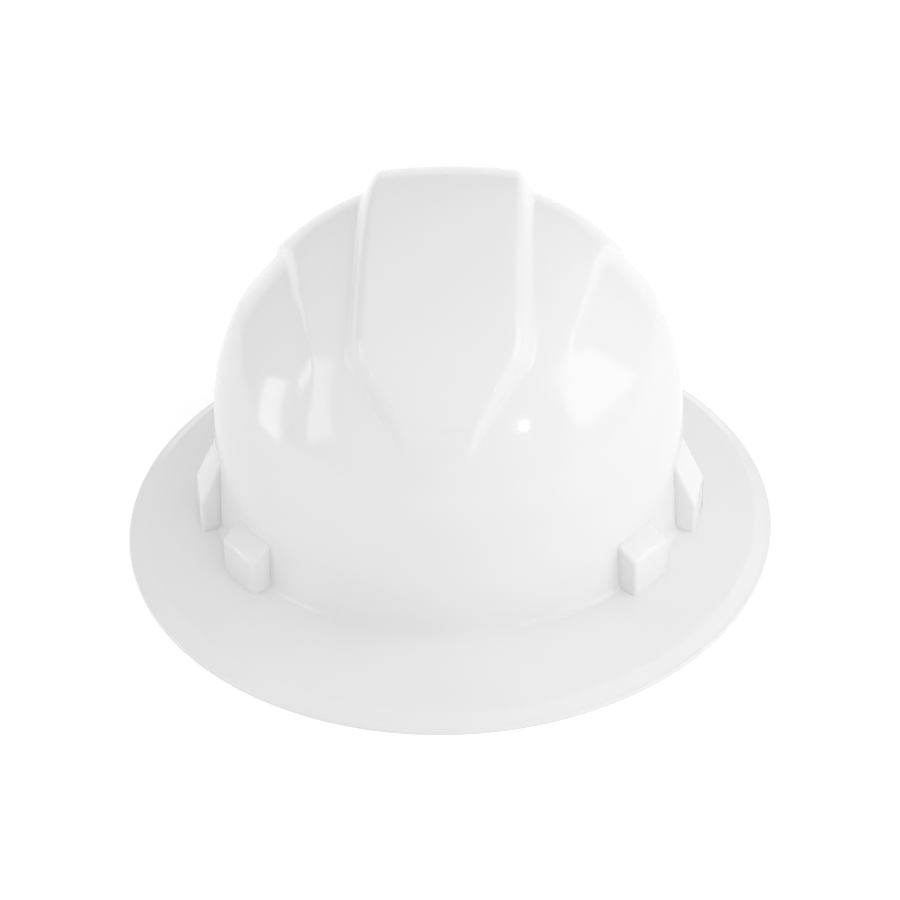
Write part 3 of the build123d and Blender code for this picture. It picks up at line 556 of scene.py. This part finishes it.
def lower_column(turn, top):
    """Points down the skin, from under the patch to the brim's bottom edge."""
    fillet_low = root_height - root_fillet * side_slope
    fillet_top = fillet_low + root_fillet
    lip_rise = (lip_drop - lip_land) / lip_width
    points = [wall_point(turn, mix(top, fillet_top, share)) for share in spread(wall_rings, 0, 1)]
    for step in range(1, fillet_rings + 1):
        bend = math.radians(90) * step / fillet_rings
        out = root_fillet * (1 - math.cos(bend))
        points.append(root_point(turn, out, fillet_top - root_fillet * math.sin(bend)))
    start = root_point(turn, root_fillet, fillet_low)
    end = brim_point(turn, lip_width + lip_round, lip_drop + lip_round * side_slope)
    points += [start.lerp(end, share) for share in spread(slope_rings, 0, 1)[:-1]]
    for step in range(round_rings + 1):
        past = mix(-lip_round, lip_round, step / round_rings)
        level = lip_drop - past * side_slope
        level -= (lip_rise - side_slope) * (past + lip_round) ** 2 / (4 * lip_round)
        points.append(brim_point(turn, lip_width - past, level))
    for share in spread(lip_rings, 0, 1):
        inward = mix(lip_width - lip_round, lip_round, share)
        points.append(brim_point(turn, inward, lip_land + inward * lip_rise))
    corner = lip_land + lip_round * lip_rise
    for share in spread(round_rings, 0, 1):
        level = corner - (lip_round * lip_rise + lip_round / 2) * share ** 2
        points.append(brim_point(turn, lip_round * (1 - share) ** 2, level))
    points.append(brim_point(turn, 0, 0))
    return points


def socket_frame(degrees):
    """A socket's place on the wall's root line, the outward direction and the level one along the wall."""
    turn = math.radians(degrees)
    outward = Vector((root_half_length * math.sin(turn), -root_half_width * math.cos(turn), 0)).normalized()
    return root_point(turn, 0, 0), outward, Vector((-outward.y, outward.x, 0))


def add_object(name, data):
    made = bpy.data.objects.new(name, data)
    bpy.context.scene.collection.objects.link(made)
    return made


def keep_mesh(bm, name, smooth=True):
    """A finished object at the origin, from a bmesh that is then freed."""
    bmesh.ops.recalc_face_normals(bm, faces=bm.faces)
    for face in bm.faces:
        face.smooth = smooth
    mesh = bpy.data.meshes.new(name)
    bm.to_mesh(mesh)
    bm.free()
    return add_object(name, mesh)


def lay_patch(bm):
    """Grid over the crown, the ridge and the flutes."""
    bmesh.ops.create_grid(bm, x_segments=2 * half_columns, y_segments=row_count, size=1)
    rows = {}
    for vert in bm.verts:
        column = round(vert.co.x * half_columns)
        row = round(vert.co.y * row_count / 2)
        if row not in rows:
            rows[row] = half_row(2 * row / row_count)
        point = rows[row][abs(column)]
        vert.co = Vector((math.copysign(point.x, column) if column else 0, point.y, point.z))


def grow_rings(bm):
    """Wall, root and brim, grown ring by ring from the patch's edge."""
    edge = [e for e in bm.edges if e.is_boundary]
    columns = {}
    for vert in {v for e in edge for v in e.verts}:
        away = (vert.co.y - dome_centre_y) / dome_ratio
        columns[vert] = lower_column(math.atan2(vert.co.x, -away), vert.co.z)
    for ring in range(len(next(iter(columns.values())))):
        grown = bmesh.ops.extrude_edge_only(bm, edges=edge)["geom"]
        edge = [g for g in grown if isinstance(g, bmesh.types.BMEdge)]
        fresh = {}
        for vert in (g for g in grown if isinstance(g, bmesh.types.BMVert)):
            old = next(e.other_vert(vert) for e in vert.link_edges if e.other_vert(vert) in columns)
            fresh[vert] = columns[old]
            vert.co = columns[old][ring]
        columns = fresh


def smooth_inside(skin, outer_count):
    """Keep the inner side of the wall above the floor, and smooth its arch."""
    bm = bmesh.new()
    bm.from_mesh(skin.data)
    bm.verts.ensure_lookup_table()
    inner = bm.verts[outer_count:]
    for vert in inner:
        vert.co.z = max(vert.co.z, 0.0)
    arched = [vert for vert in inner if vert.co.z > inner_smooth_height]
    for _ in range(inner_smooth_rounds):
        bmesh.ops.smooth_vert(
            bm, verts=arched, factor=inner_smooth_share, use_axis_x=True, use_axis_y=True, use_axis_z=True,
        )
    bm.to_mesh(skin.data)
    bm.free()


def shell_skin():
    """Smooth skin of the whole shell, given its wall by a Solidify modifier."""
    bm = bmesh.new()
    lay_patch(bm)
    grow_rings(bm)
    outer_count = len(bm.verts)
    skin = keep_mesh(bm, "shell_skin")
    solid = skin.modifiers.new("wall", "SOLIDIFY")
    solid.thickness = wall
    solid.offset = -1
    settle(skin)
    smooth_inside(skin, outer_count)
    cut_sockets(skin)
    return skin


def settle(obj):
    """Give an object the mesh that its modifiers make, and drop the modifiers."""
    view = bpy.context.evaluated_depsgraph_get()
    made = bpy.data.meshes.new_from_object(obj.evaluated_get(view))
    obj.modifiers.clear()
    obj.data = made


def socket_cutter():
    """Boxes that open the six sockets from below, as one object."""
    bm = bmesh.new()
    for degrees in socket_turns.values():
        foot, outward, along = socket_frame(degrees)
        box = bmesh.ops.create_cube(bm, size=2)["verts"]
        for vert in box:
            out = pocket_near if vert.co.y < 0 else pocket_far
            up = pocket_top if vert.co.z > 0 else -pocket_overrun
            vert.co = foot + along * (vert.co.x * pocket_half_width) + outward * out + Vector((0, 0, up))
    return keep_mesh(bm, "socket_cutter", smooth=False)


def cut_sockets(obj):
    """Open the sockets in an object, and keep its hard edges hard."""
    cutter = socket_cutter()
    cut = obj.modifiers.new("sockets", "BOOLEAN")
    cut.operation = "DIFFERENCE"
    cut.solver = "EXACT"
    cut.object = cutter
    settle(obj)
    bpy.data.objects.remove(cutter)
    bm = bmesh.new()
    bm.from_mesh(obj.data)
    for edge in bm.edges:
        if len(edge.link_faces) == 2 and edge.calc_face_angle(0) > hard_edge_angle:
            edge.smooth = False
    bm.to_mesh(obj.data)
    bm.free()


def boss_block(name, degrees, face_top, roof_top):
    """Moulded socket housing with a sloping roof and soft edges."""
    foot, outward, along = socket_frame(degrees)
    lean = (roof_top - root_height) * draft_slope
    bm = bmesh.new()
    bmesh.ops.create_cube(bm, size=2)
    for vert in bm.verts:
        side = vert.co.x * boss_half_width
        if vert.co.y > 0:
            out = boss_proud
            height = face_top if vert.co.z > 0 else boss_bottom
        else:
            out = -boss_sunk - (lean if vert.co.z > 0 else 0)
            height = roof_top if vert.co.z > 0 else boss_bottom
        vert.co = foot + along * side + outward * out + Vector((0, 0, height))
    bmesh.ops.recalc_face_normals(bm, faces=bm.faces)
    soft = [e for e in bm.edges if max(v.co.z for v in e.verts) > face_top - boss_round]
    bmesh.ops.bevel(
        bm, geom=soft, offset=boss_round, offset_type="OFFSET", segments=boss_round_steps, profile=0.5,
        affect="EDGES", material=-1, clamp_overlap=True,
    )
    block = keep_mesh(bm, name)
    cut_sockets(block)
    return block


def round_corners(corners, radius, steps):
    """Line through corners, with each inner corner turned softly."""
    places = [corners[0]]
    for before, corner, after in zip(corners, corners[1:], corners[2:]):
        start = corner + (before - corner).normalized() * radius
        end = corner + (after - corner).normalized() * radius
        for step in range(steps + 1):
            share = step / steps
            places.append(start.lerp(corner, share).lerp(corner.lerp(end, share), share))
    places.append(corners[-1])
    return places


def fold_places(socket):
    """Middle line of the strap's fold round the key's bar, down on the inside and up again behind it."""
    foot, outward, _ = socket
    half = strap_thickness / 2
    near = key_plate_inner + clearance + half
    far = key_plate_outer - clearance - half
    low = key_plate_top - key_bar_height - clearance - half
    high = key_plate_top + clearance + half
    back = near - strap_thickness - lay_gap
    down = [(near, strap_spring_height), (near, low), (far, low)]
    corners = down + [(far, high), (back, high), (back, strap_spring_height)]
    return round_corners([foot - outward * n + Vector((0, 0, z)) for n, z in corners], fold_round, fold_steps)


def strap_half(own, other, crown, level):
    """Places and width directions along half a strap, from its tail through its fold up to the crown."""
    half = strap_thickness / 2
    inward = key_plate_inner + clearance + half
    spring = Vector((0, 0, strap_spring_height))
    start = own[0] - own[1] * inward + spring
    far_start = other[0] - other[1] * inward + spring
    middle = (start + far_start) / 2
    reach = start - middle
    rise = Vector((0, 0, crown - strap_spring_height))
    wall_level = own[2] if own[2].dot(level) > 0 else -own[2]
    arch = []
    tail = []
    run = 0.0
    before = start
    for step in range(arch_steps + 1):
        turn = math.radians(90) * step / arch_steps
        place = middle + reach * math.cos(turn) + rise * math.sin(turn)
        across = (wall_level * (1 - math.sin(turn)) + level * math.sin(turn)).normalized()
        heading = (rise * math.cos(turn) - reach * math.sin(turn)).normalized()
        across = (across - heading * across.dot(heading)).normalized()
        out = across.cross(heading)
        if out.dot(own[1]) < 0:
            out = -out
        run += (place - before).length
        before = place
        arch.append((place, across))
        if step and run < tail_length:
            tail.append((place + out * (strap_thickness + lay_gap), across))
    fold = [(place, wall_level) for place in fold_places(own)]
    return tail[::-1] + fold[::-1] + arch[1:]


def strap_stations(first, second, crown):
    """All stations of a strap, from one tail to the other."""
    own = socket_frame(socket_turns[first])
    other = socket_frame(socket_turns[second])
    level = (own[0] - other[0]).normalized().cross(Vector((0, 0, 1)))
    near_half = strap_half(own, other, crown, level)
    far_half = strap_half(other, own, crown, level)
    return near_half + far_half[::-1][1:]


def run_lengths(places):
    lengths = [0.0]
    for before, after in zip(places, places[1:]):
        lengths.append(lengths[-1] + (after - before).length)
    return lengths


def cloth_strip(name, stations, width):
    """Flat webbing through the stations, with a UV map in metres for its weave."""
    bm = bmesh.new()
    layer = bm.loops.layers.uv.new("weave")
    rows = len(stations) - 1
    bmesh.ops.create_grid(bm, x_segments=strap_columns, y_segments=rows, size=1, calc_uvs=True)
    lengths = run_lengths([place for place, _ in stations])
    marks = {}
    for vert in bm.verts:
        row = round((vert.co.y + 1) * rows / 2)
        offset = vert.co.x * width / 2
        marks[vert] = (offset, lengths[row])
        place, across = stations[row]
        vert.co = place + across * offset
    for face in bm.faces:
        for loop in face.loops:
            loop[layer].uv = marks[loop.vert]
    cloth = keep_mesh(bm, name)
    body = cloth.modifiers.new("cloth", "SOLIDIFY")
    body.thickness = strap_thickness * cloth_share
    body.offset = 0
    edge = cloth.modifiers.new("selvedge", "BEVEL")
    edge.width = strap_thickness * selvedge_share
    edge.segments = 2
    edge.limit_method = "ANGLE"
    edge.angle_limit = selvedge_angle
    return cloth, lengths[-1]


def thread(bm, place, heading, out):
    """One stitch lying on the cloth."""
    side = heading.cross(out).normalized() * thread_radius
    turn = Matrix((heading * thread_length / 2, side, out * thread_radius)).transposed().to_4x4()
    bmesh.ops.create_icosphere(bm, subdivisions=2, radius=1, matrix=Matrix.Translation(place) @ turn)


def sew_line(bm, start, end, out):
    """Row of stitches between two points."""
    count = max(1, round((end - start).length / thread_step))
    heading = (end - start).normalized()
    for step in range(count):
        thread(bm, start.lerp(end, (step + 0.5) / count), heading, out)


def sew_box(bm, corners, middle, out):
    """Box of stitches with a cross in it."""
    for first, second in zip(corners, corners[1:] + corners[:1]):
        sew_line(bm, first, second, out)
    for corner in corners:
        sew_line(bm, corner, middle, out)


def strap_stitches(name, stations):
    """Crossed box of stitches where each tail is sewn to its strap, on both sides."""
    bm = bmesh.new()
    past_fold = 4 * fold_steps
    for line in (stations, stations[::-1]):
        start = next(i for i in range(len(line)) if i > past_fold and line[i][0].z > strap_spring_height)
        places = [place for place, _ in line[start:]]
        lengths = run_lengths(places)
        top = next(i for i, run in enumerate(lengths) if run > tail_length * tail_seam_share)
        low = places[0]
        high = places[top]
        heading = (high - low).normalized()
        across = line[start][1]
        out = across.cross(heading).normalized()
        if out.dot(low - Vector((0, 0, low.z))) > 0:
            out = -out
        side = across * strap_width * tail_seam_half_share
        for lift, way in ((strap_thickness / 2, out), (strap_thickness * 1.5 + lay_gap, -out)):
            base = way * (lift + thread_radius * thread_lift_share)
            bulge = base + (places[top // 2] - (low + high) / 2)
            corners = [low + base - side, low + base + side, high + base + side, high + base - side]
            sew_box(bm, corners, (low + high) / 2 + bulge, way)
    return keep_mesh(bm, name)


def band_line(offset, run):
    """Place in plan along the headband's front, run from its middle, and the outward direction there."""
    radius = band_front_radius + offset
    turn_end = math.radians(90) - band_lean
    side = 1 if run >= 0 else -1
    arc = radius * turn_end
    turn = min(abs(run) / radius, turn_end)
    out = Vector((side * math.sin(turn), -math.cos(turn), 0))
    place = Vector((0, band_front_y, 0)) + out * radius
    if abs(run) > arc:
        place += Vector((side * math.cos(turn_end), math.sin(turn_end), 0)) * (abs(run) - arc)
    return place, out


def nape_line(offset, run):
    """Place in plan along the nape, run from its middle, and the outward direction there."""
    radius = nape_pad_radius + offset
    turn = run / radius
    out = Vector((math.sin(turn), math.cos(turn), 0))
    return Vector((0, band_rear_y, 0)) + out * radius, out


def pad_fill(run, length):
    """Shares of the pad's thickness and height at a run along it, with a rounded end."""
    past = max(0.0, (abs(run) - (length - pad_end_round)) / pad_end_round)
    height = math.sqrt(max(0.0, 1 - past ** 2))
    return height ** pad_end_power, height


def pad_depth(up, thickness, half_height):
    """Thickness of a pad over its height, pinched at its two seams."""
    seam = (abs(up) - (half_height - seam_inset)) / seam_spread
    thinned = thickness - thickness * pad_thinning * (abs(up) / half_height) ** 2
    return thinned - seam_depth * math.exp(-seam * seam)


def fuller(value):
    """Sine or cosine drawn out towards a square, for a fuller section."""
    return math.copysign(abs(value) ** (2 / pad_fullness), value)


def long_pad(name, line, length, low, high, thickness):
    """Curved soft pad with rounded ends, its back against the band and its sewn front towards the head."""
    half_height = (high - low) / 2
    middle = (high + low) / 2
    bm = bmesh.new()
    bmesh.ops.create_grid(bm, x_segments=pad_columns, y_segments=pad_rows, size=1)
    for vert in bm.verts:
        turn = math.radians(180) * (vert.co.x + 1)
        run = vert.co.y * length
        thick, tall = pad_fill(run, length)
        up = fuller(math.sin(turn)) * half_height
        depth = pad_depth(up, thickness, half_height) * (1 - fuller(math.cos(turn))) / 2
        place, out = line(0, run)
        inward = thickness / 2 + (depth - thickness / 2) * thick
        vert.co = place - out * inward + Vector((0, 0, middle + up * tall))
    bmesh.ops.remove_doubles(bm, verts=bm.verts, dist=weld_gap)
    return keep_mesh(bm, name)


def pad_stitches(name, line, length, low, high, thickness):
    """Two rows of stitches in the pad's seams."""
    half_height = (high - low) / 2
    level = half_height - seam_inset
    depth = pad_depth(level, thickness, half_height)
    count = int((length - pad_end_round) / thread_step)
    bm = bmesh.new()
    for step in range(-count, count + 1):
        place, out = line(-depth, step * thread_step)
        heading = Vector((-out.y, out.x, 0))
        for side in (-1, 1):
            thread(bm, place + Vector((0, 0, (high + low) / 2 + side * level)), heading, out)
    return keep_mesh(bm, name)


def disc_pad(name):
    """Round dished pad for the crown, stuffed between a seam near its rim and six sewn channels."""
    bm = bmesh.new()
    seam = crown_pad_radius - seam_inset * disc_seam_share
    middle = crown_pad_top - crown_pad_thickness / 2
    chain = []
    for side in (1, -1):
        order = range(disc_rings + 1) if side > 0 else range(disc_rings - 1, -1, -1)
        for step in order:
            radius = crown_pad_radius * math.sin(math.radians(90) * step / disc_rings)
            share = radius / crown_pad_radius
            plump = (1 - share ** disc_fullness) ** 0.5 * crown_pad_thickness / 2
            level = middle - crown_pad_drop * share ** 2
            pinch = seam_depth * math.exp(-((radius - seam) / seam_spread) ** 2)
            chain.append(bm.verts.new((radius, 0, level + side * max(plump - pinch, 0))))
    for first, second in zip(chain, chain[1:]):
        bm.edges.new((first, second))
    bmesh.ops.spin(
        bm, geom=list(bm.verts) + list(bm.edges), cent=(0, 0, 0), axis=(0, 0, 1), angle=math.radians(360),
        steps=disc_turns, use_merge=True,
    )
    bmesh.ops.remove_doubles(bm, verts=bm.verts, dist=weld_gap)
    for vert in bm.verts:
        radius = math.hypot(vert.co.x, vert.co.y)
        turn = math.atan2(vert.co.y, vert.co.x)
        gap = (turn / channel_angle + 0.5) % 1 - 0.5
        off_line = radius * abs(gap) * channel_angle
        away = vert.co.z - (middle - crown_pad_drop * (radius / crown_pad_radius) ** 2)
        pinch = seam_depth * math.exp(-(off_line / seam_spread) ** 2)
        pinch *= ease((radius - channel_start) / channel_run_in)
        pinch *= ease((seam - radius) / channel_run_out)
        vert.co.z -= math.copysign(min(pinch, abs(away)), away)
    bmesh.ops.translate(bm, verts=bm.verts, vec=(0, dome_centre_y, 0))
    return keep_mesh(bm, name)


def dress_straps(webbing, yarn):
    """Sewn straps over the crown."""
    for node, (first, last, crown) in crown_straps.items():
        stations = strap_stations(first, last, crown)
        cloth, length = cloth_strip("webbing_" + node, stations, strap_width)
        sewing = strap_stitches("stitches_" + node, stations)
        for piece, look in ((cloth, webbing), (sewing, yarn)):
            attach(piece, "suspension")
            finish_with(piece, look)
        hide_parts(node)


def dress_pads(foam, yarn):
    """Pads of the brow, the nape and the crown."""
    radius = band_front_radius + brow_outer
    straight_start = band_front_y - radius * math.sin(band_lean)
    arc = radius * (math.radians(90) - band_lean)
    brow_length = arc + (brow_pad_rear_y - straight_start) / math.cos(band_lean)

    def brow_line(offset, run):
        return band_line(brow_outer + offset, run)

    brow = (brow_line, brow_length, brow_pad_bottom, brow_pad_top, brow_pad_thickness)
    nape = (nape_line, nape_pad_radius * nape_pad_angle, nape_pad_bottom, nape_pad_top, nape_pad_thickness)
    for node, sizes in (("brow_pad", brow), ("nape_pad", nape)):
        pad = long_pad("padding_" + node, *sizes)
        sewing = pad_stitches("stitches_" + node, *sizes)
        for piece, look in ((pad, foam), (sewing, yarn)):
            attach(piece, "suspension")
            finish_with(piece, look)
        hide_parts(node)
    disc = disc_pad("padding_crown_pad")
    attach(disc, "suspension")
    finish_with(disc, foam)
    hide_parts("crown_pad")


def cleared(holder):
    """A material or a world with an empty node tree."""
    holder.use_nodes = True
    holder.node_tree.nodes.clear()
    return holder


def new_material(name):
    return cleared(bpy.data.materials.new(name))


def set_inputs(holder, node, inputs):
    """Set a node's inputs to numbers, or wire them to other nodes' outputs."""
    for key, value in inputs.items():
        if isinstance(value, bpy.types.NodeSocket):
            holder.node_tree.links.new(value, node.inputs[key])
        else:
            node.inputs[key].default_value = value


def add_node(holder, kind, inputs):
    made = holder.node_tree.nodes.new("ShaderNode" + kind)
    set_inputs(holder, made, inputs)
    return made


def calculated(holder, kind, *values):
    """Result of a sum over numbers and outputs."""
    made = add_node(holder, "Math", dict(enumerate(values)))
    made.operation = kind
    return made.outputs["Value"]


def noise(holder, scale, detail=3.0, roughness=0.5):
    """Noise on Object coordinates; its output is the noise value."""
    place = add_node(holder, "TexCoord", {}).outputs["Object"]
    numbers = {"Vector": place, "Scale": scale, "Detail": detail, "Roughness": roughness}
    return add_node(holder, "TexNoise", numbers).outputs["Fac"]


def ranged(holder, value, low, high, start=0.35, end=0.65):
    """Value stretched from its middle range to low and high."""
    numbers = {"Value": value, "From Min": start, "From Max": end, "To Min": low, "To Max": high}
    return add_node(holder, "MapRange", numbers).outputs["Result"]


def two_tone(holder, value, low, high, start=0.35, end=0.65):
    """Colour from one tone to another over a value's middle range, by the colour sockets 6, 7 and 2."""
    made = add_node(holder, "Mix", {})
    made.data_type = "RGBA"
    set_inputs(holder, made, {0: ranged(holder, value, 0, 1, start, end), 6: (*low, 1), 7: (*high, 1)})
    return made.outputs[2]


def bumped(holder, value, height, strength=1.0, under=None):
    """Normal of a value's relief, laid over the relief under it."""
    numbers = {"Strength": strength, "Distance": height, "Height": value}
    if under is not None:
        numbers["Normal"] = under
    return add_node(holder, "Bump", numbers).outputs["Normal"]


def shaded(made, inputs):
    """A material with its shader and its output."""
    shader = add_node(made, "BsdfPrincipled", inputs)
    add_node(made, "OutputMaterial", {"Surface": shader.outputs["BSDF"]})
    return made


def plain_look(
    name, low, high, roughness, grain_scale, grain_height,
    tone_scale=14.0, marks_scale=45.0, index=1.49, metal=0.0,
):
    """Slight variation of colour and gloss, with a fine moulded or turned grain."""
    made = new_material(name)
    return shaded(made, {
        "Base Color": two_tone(made, noise(made, tone_scale), low, high),
        "Roughness": ranged(made, noise(made, marks_scale, detail=4.0), *roughness),
        "IOR": index,
        "Metallic": metal,
        "Normal": bumped(made, noise(made, grain_scale, detail=2.0), grain_height),
    })


def gloss_white():
    """Glossy white moulding: a faint waviness, and fine handling marks in its gloss."""
    made = new_material("shell_white")
    wave = bumped(made, noise(made, scale=26.0, detail=1.0), height=0.00012, strength=0.5)
    grain = noise(made, scale=900.0, detail=2.0)
    return shaded(made, {
        "Base Color": two_tone(made, noise(made, scale=9.0), *white_tones),
        "Roughness": ranged(made, noise(made, scale=60.0, detail=5.0, roughness=0.6), *white_roughness),
        "IOR": 1.5,
        "Subsurface Weight": 0.06,
        "Subsurface Radius": (1.0, 1.0, 1.0),
        "Subsurface Scale": 0.003,
        "Normal": bumped(made, grain, height=0.000012, strength=0.4, under=wave),
    })


def woven():
    """Webbing: warp ribs along the strap that rise and dip in turn, on a UV map in metres, with painted shade
    in its colour where the weave dips.
    """
    made = new_material("strap_webbing")
    layout = add_node(made, "UVMap", {})
    layout.uv_map = "weave"
    across, along, _ = add_node(made, "SeparateXYZ", {"Vector": layout.outputs["UV"]}).outputs
    count = calculated(made, "DIVIDE", across, warp_step)
    rib_turn = calculated(made, "MULTIPLY", count, math.pi)
    rib = calculated(made, "ABSOLUTE", calculated(made, "SINE", rib_turn))
    stagger = calculated(made, "MULTIPLY", calculated(made, "FLOOR", count), math.pi)
    weft_turn = calculated(made, "MULTIPLY", along, 2 * math.pi / weft_step)
    float_turn = calculated(made, "ADD", weft_turn, stagger)
    dip = calculated(made, "MULTIPLY_ADD", calculated(made, "SINE", float_turn), weft_dip, 1 - weft_dip)
    height = calculated(made, "MULTIPLY", rib, dip)
    fuzz = noise(made, scale=1600.0)
    # Colour from the weave's height: painted shade in its grooves and dips, plus random fuzz in the tone
    weave_shade = calculated(made, "MULTIPLY", height, 0.8)
    weave_shade_and_fuzz = calculated(made, "ADD", weave_shade, calculated(made, "MULTIPLY", fuzz, 0.4))
    grain = bumped(made, height, height=0.0003, strength=0.8)
    return shaded(made, {
        "Base Color": two_tone(made, weave_shade_and_fuzz, *webbing_tones, start=0.2, end=1.0),
        "Roughness": ranged(made, fuzz, *webbing_roughness),
        "Sheen Weight": 0.15,
        "Sheen Roughness": 0.4,
        "Normal": bumped(made, fuzz, height=0.00008, strength=0.5, under=grain),
    })


def knitted():
    """Padding fabric: a fine knit of small cells with a soft sheen."""
    made = new_material("pad_foam")
    place = add_node(made, "TexCoord", {}).outputs["Object"]
    knit = {"Vector": place, "Scale": knit_scale, "Randomness": 0.35}
    cells = add_node(made, "TexVoronoi", knit).outputs["Distance"]
    grain = bumped(made, cells, height=-0.00018, strength=0.8)
    return shaded(made, {
        # Colour darker towards the sunken cell edges: painted shade in the knit's gaps
        "Base Color": two_tone(made, cells, *knit_tones, start=0.1, end=0.7),
        "Roughness": ranged(made, noise(made, scale=120.0), *knit_roughness),
        "Sheen Weight": 0.3,
        "Sheen Roughness": 0.5,
        "Normal": bumped(made, noise(made, scale=70.0, detail=2.0), height=0.0004, strength=0.3, under=grain),
    })


def finish_with(obj, material):
    obj.data.materials.clear()
    obj.data.materials.append(material)


def way_out(turn, rise):
    """Direction away from the hat, turned round from the front and raised from the floor."""
    return Vector((math.sin(turn) * math.cos(rise), -math.cos(turn) * math.cos(rise), math.sin(rise)))


def add_lamp(name, turn, up, distance, width, height, power, tilt, mirrored):
    """Soft box that faces the hat."""
    lamp = bpy.data.lights.new(name, "AREA")
    lamp.shape = "RECTANGLE"
    lamp.size = width
    lamp.size_y = height
    lamp.energy = power
    made = add_object(name, lamp)
    place = lamp_target + way_out(math.radians(turn), math.radians(up)) * distance
    made.location = place
    aim = (lamp_target - place).to_track_quat("-Z", "Y")
    made.rotation_mode = "QUATERNION"
    made.rotation_quaternion = aim @ Matrix.Rotation(math.radians(tilt), 3, "Z").to_quaternion()
    made.visible_glossy = mirrored


def lay_floor():
    """White floor that keeps the hat's shadow, with a glow that light from it doesn't carry."""
    bm = bmesh.new()
    bmesh.ops.create_grid(bm, x_segments=1, y_segments=1, size=floor_half_size)
    floor = keep_mesh(bm, "floor", smooth=False)
    made = new_material("floor_white")
    paper = add_node(made, "BsdfDiffuse", {"Color": floor_white}).outputs["BSDF"]
    glow = add_node(made, "Emission", {"Strength": floor_glow}).outputs["Emission"]
    both = add_node(made, "AddShader", {0: paper, 1: glow}).outputs["Shader"]
    ray = add_node(made, "LightPath", {}).outputs
    seen = calculated(made, "MAXIMUM", ray["Is Camera Ray"], ray["Is Glossy Ray"])
    seen = calculated(made, "MAXIMUM", seen, ray["Is Transmission Ray"])
    blend = add_node(made, "MixShader", {"Fac": seen, 1: paper, 2: both})
    add_node(made, "OutputMaterial", {"Surface": blend.outputs["Shader"]})
    floor.data.materials.append(made)


def light_surround():
    """Pale surround whose light grows evenly from the left to the right."""
    world = cleared(bpy.data.worlds.new("surround"))
    way = add_node(world, "TexCoord", {}).outputs["Generated"]
    side = add_node(world, "SeparateXYZ", {"Vector": way}).outputs["X"]
    strength = ranged(world, side, surround_left, surround_right, start=-1, end=1)
    soft = add_node(world, "Background", {"Color": (1, 1, 1, 1), "Strength": strength})
    add_node(world, "OutputWorld", {"Surface": soft.outputs["Background"]})
    bpy.context.scene.world = world


def photo_camera():
    """Camera at the photograph's viewing angle."""
    back = way_out(camera_azimuth, camera_elevation)
    lens = bpy.data.cameras.new("camera")
    lens.lens = lens_length
    lens.sensor_width = sensor_width
    lens.shift_x = -camera_shift
    lens.clip_start = nearest_seen
    made = add_object("camera", lens)
    made.location = back * camera_distance
    made.rotation_mode = "QUATERNION"
    aim = (-back).to_track_quat("-Z", "Y")
    lift = Matrix.Rotation(camera_lift, 3, "X").to_quaternion()
    roll = Matrix.Rotation(-camera_roll, 3, "Z").to_quaternion()
    made.rotation_quaternion = aim @ lift @ roll
    bpy.context.scene.camera = made


def dress_shell(white):
    """Smooth skin over the shell, and its six socket bosses."""
    skin = shell_skin()
    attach(skin, "shell")
    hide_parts("shell")
    finish_with(skin, white)
    for name, (turn, face_top, roof_top) in bosses.items():
        for side, sign in sides.items():
            block = boss_block(f"boss_{name}_{side}", sign * turn, face_top, roof_top)
            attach(block, "shell")
            finish_with(block, white)


bpy.context.scene.view_settings.view_transform = "Standard"
photo_camera()
lay_floor()
light_surround()
for name, numbers in lamps.items():
    add_lamp(name, *numbers)

finishes = {name: plain_look(name, *numbers) for name, numbers in plain_looks.items()}
finishes |= {"shell_white": gloss_white(), "strap_webbing": woven(), "pad_foam": knitted()}
dress_shell(finishes["shell_white"])
dress_straps(finishes["strap_webbing"], finishes["yarn"])
dress_pads(finishes["pad_foam"], finishes["yarn"])
for entry in frame["record"]["subparts"]:
    node = frame["nodes"][entry["node"]]
    node.data.materials.clear()
    node.data.materials.append(finishes[entry["material_slot"]])
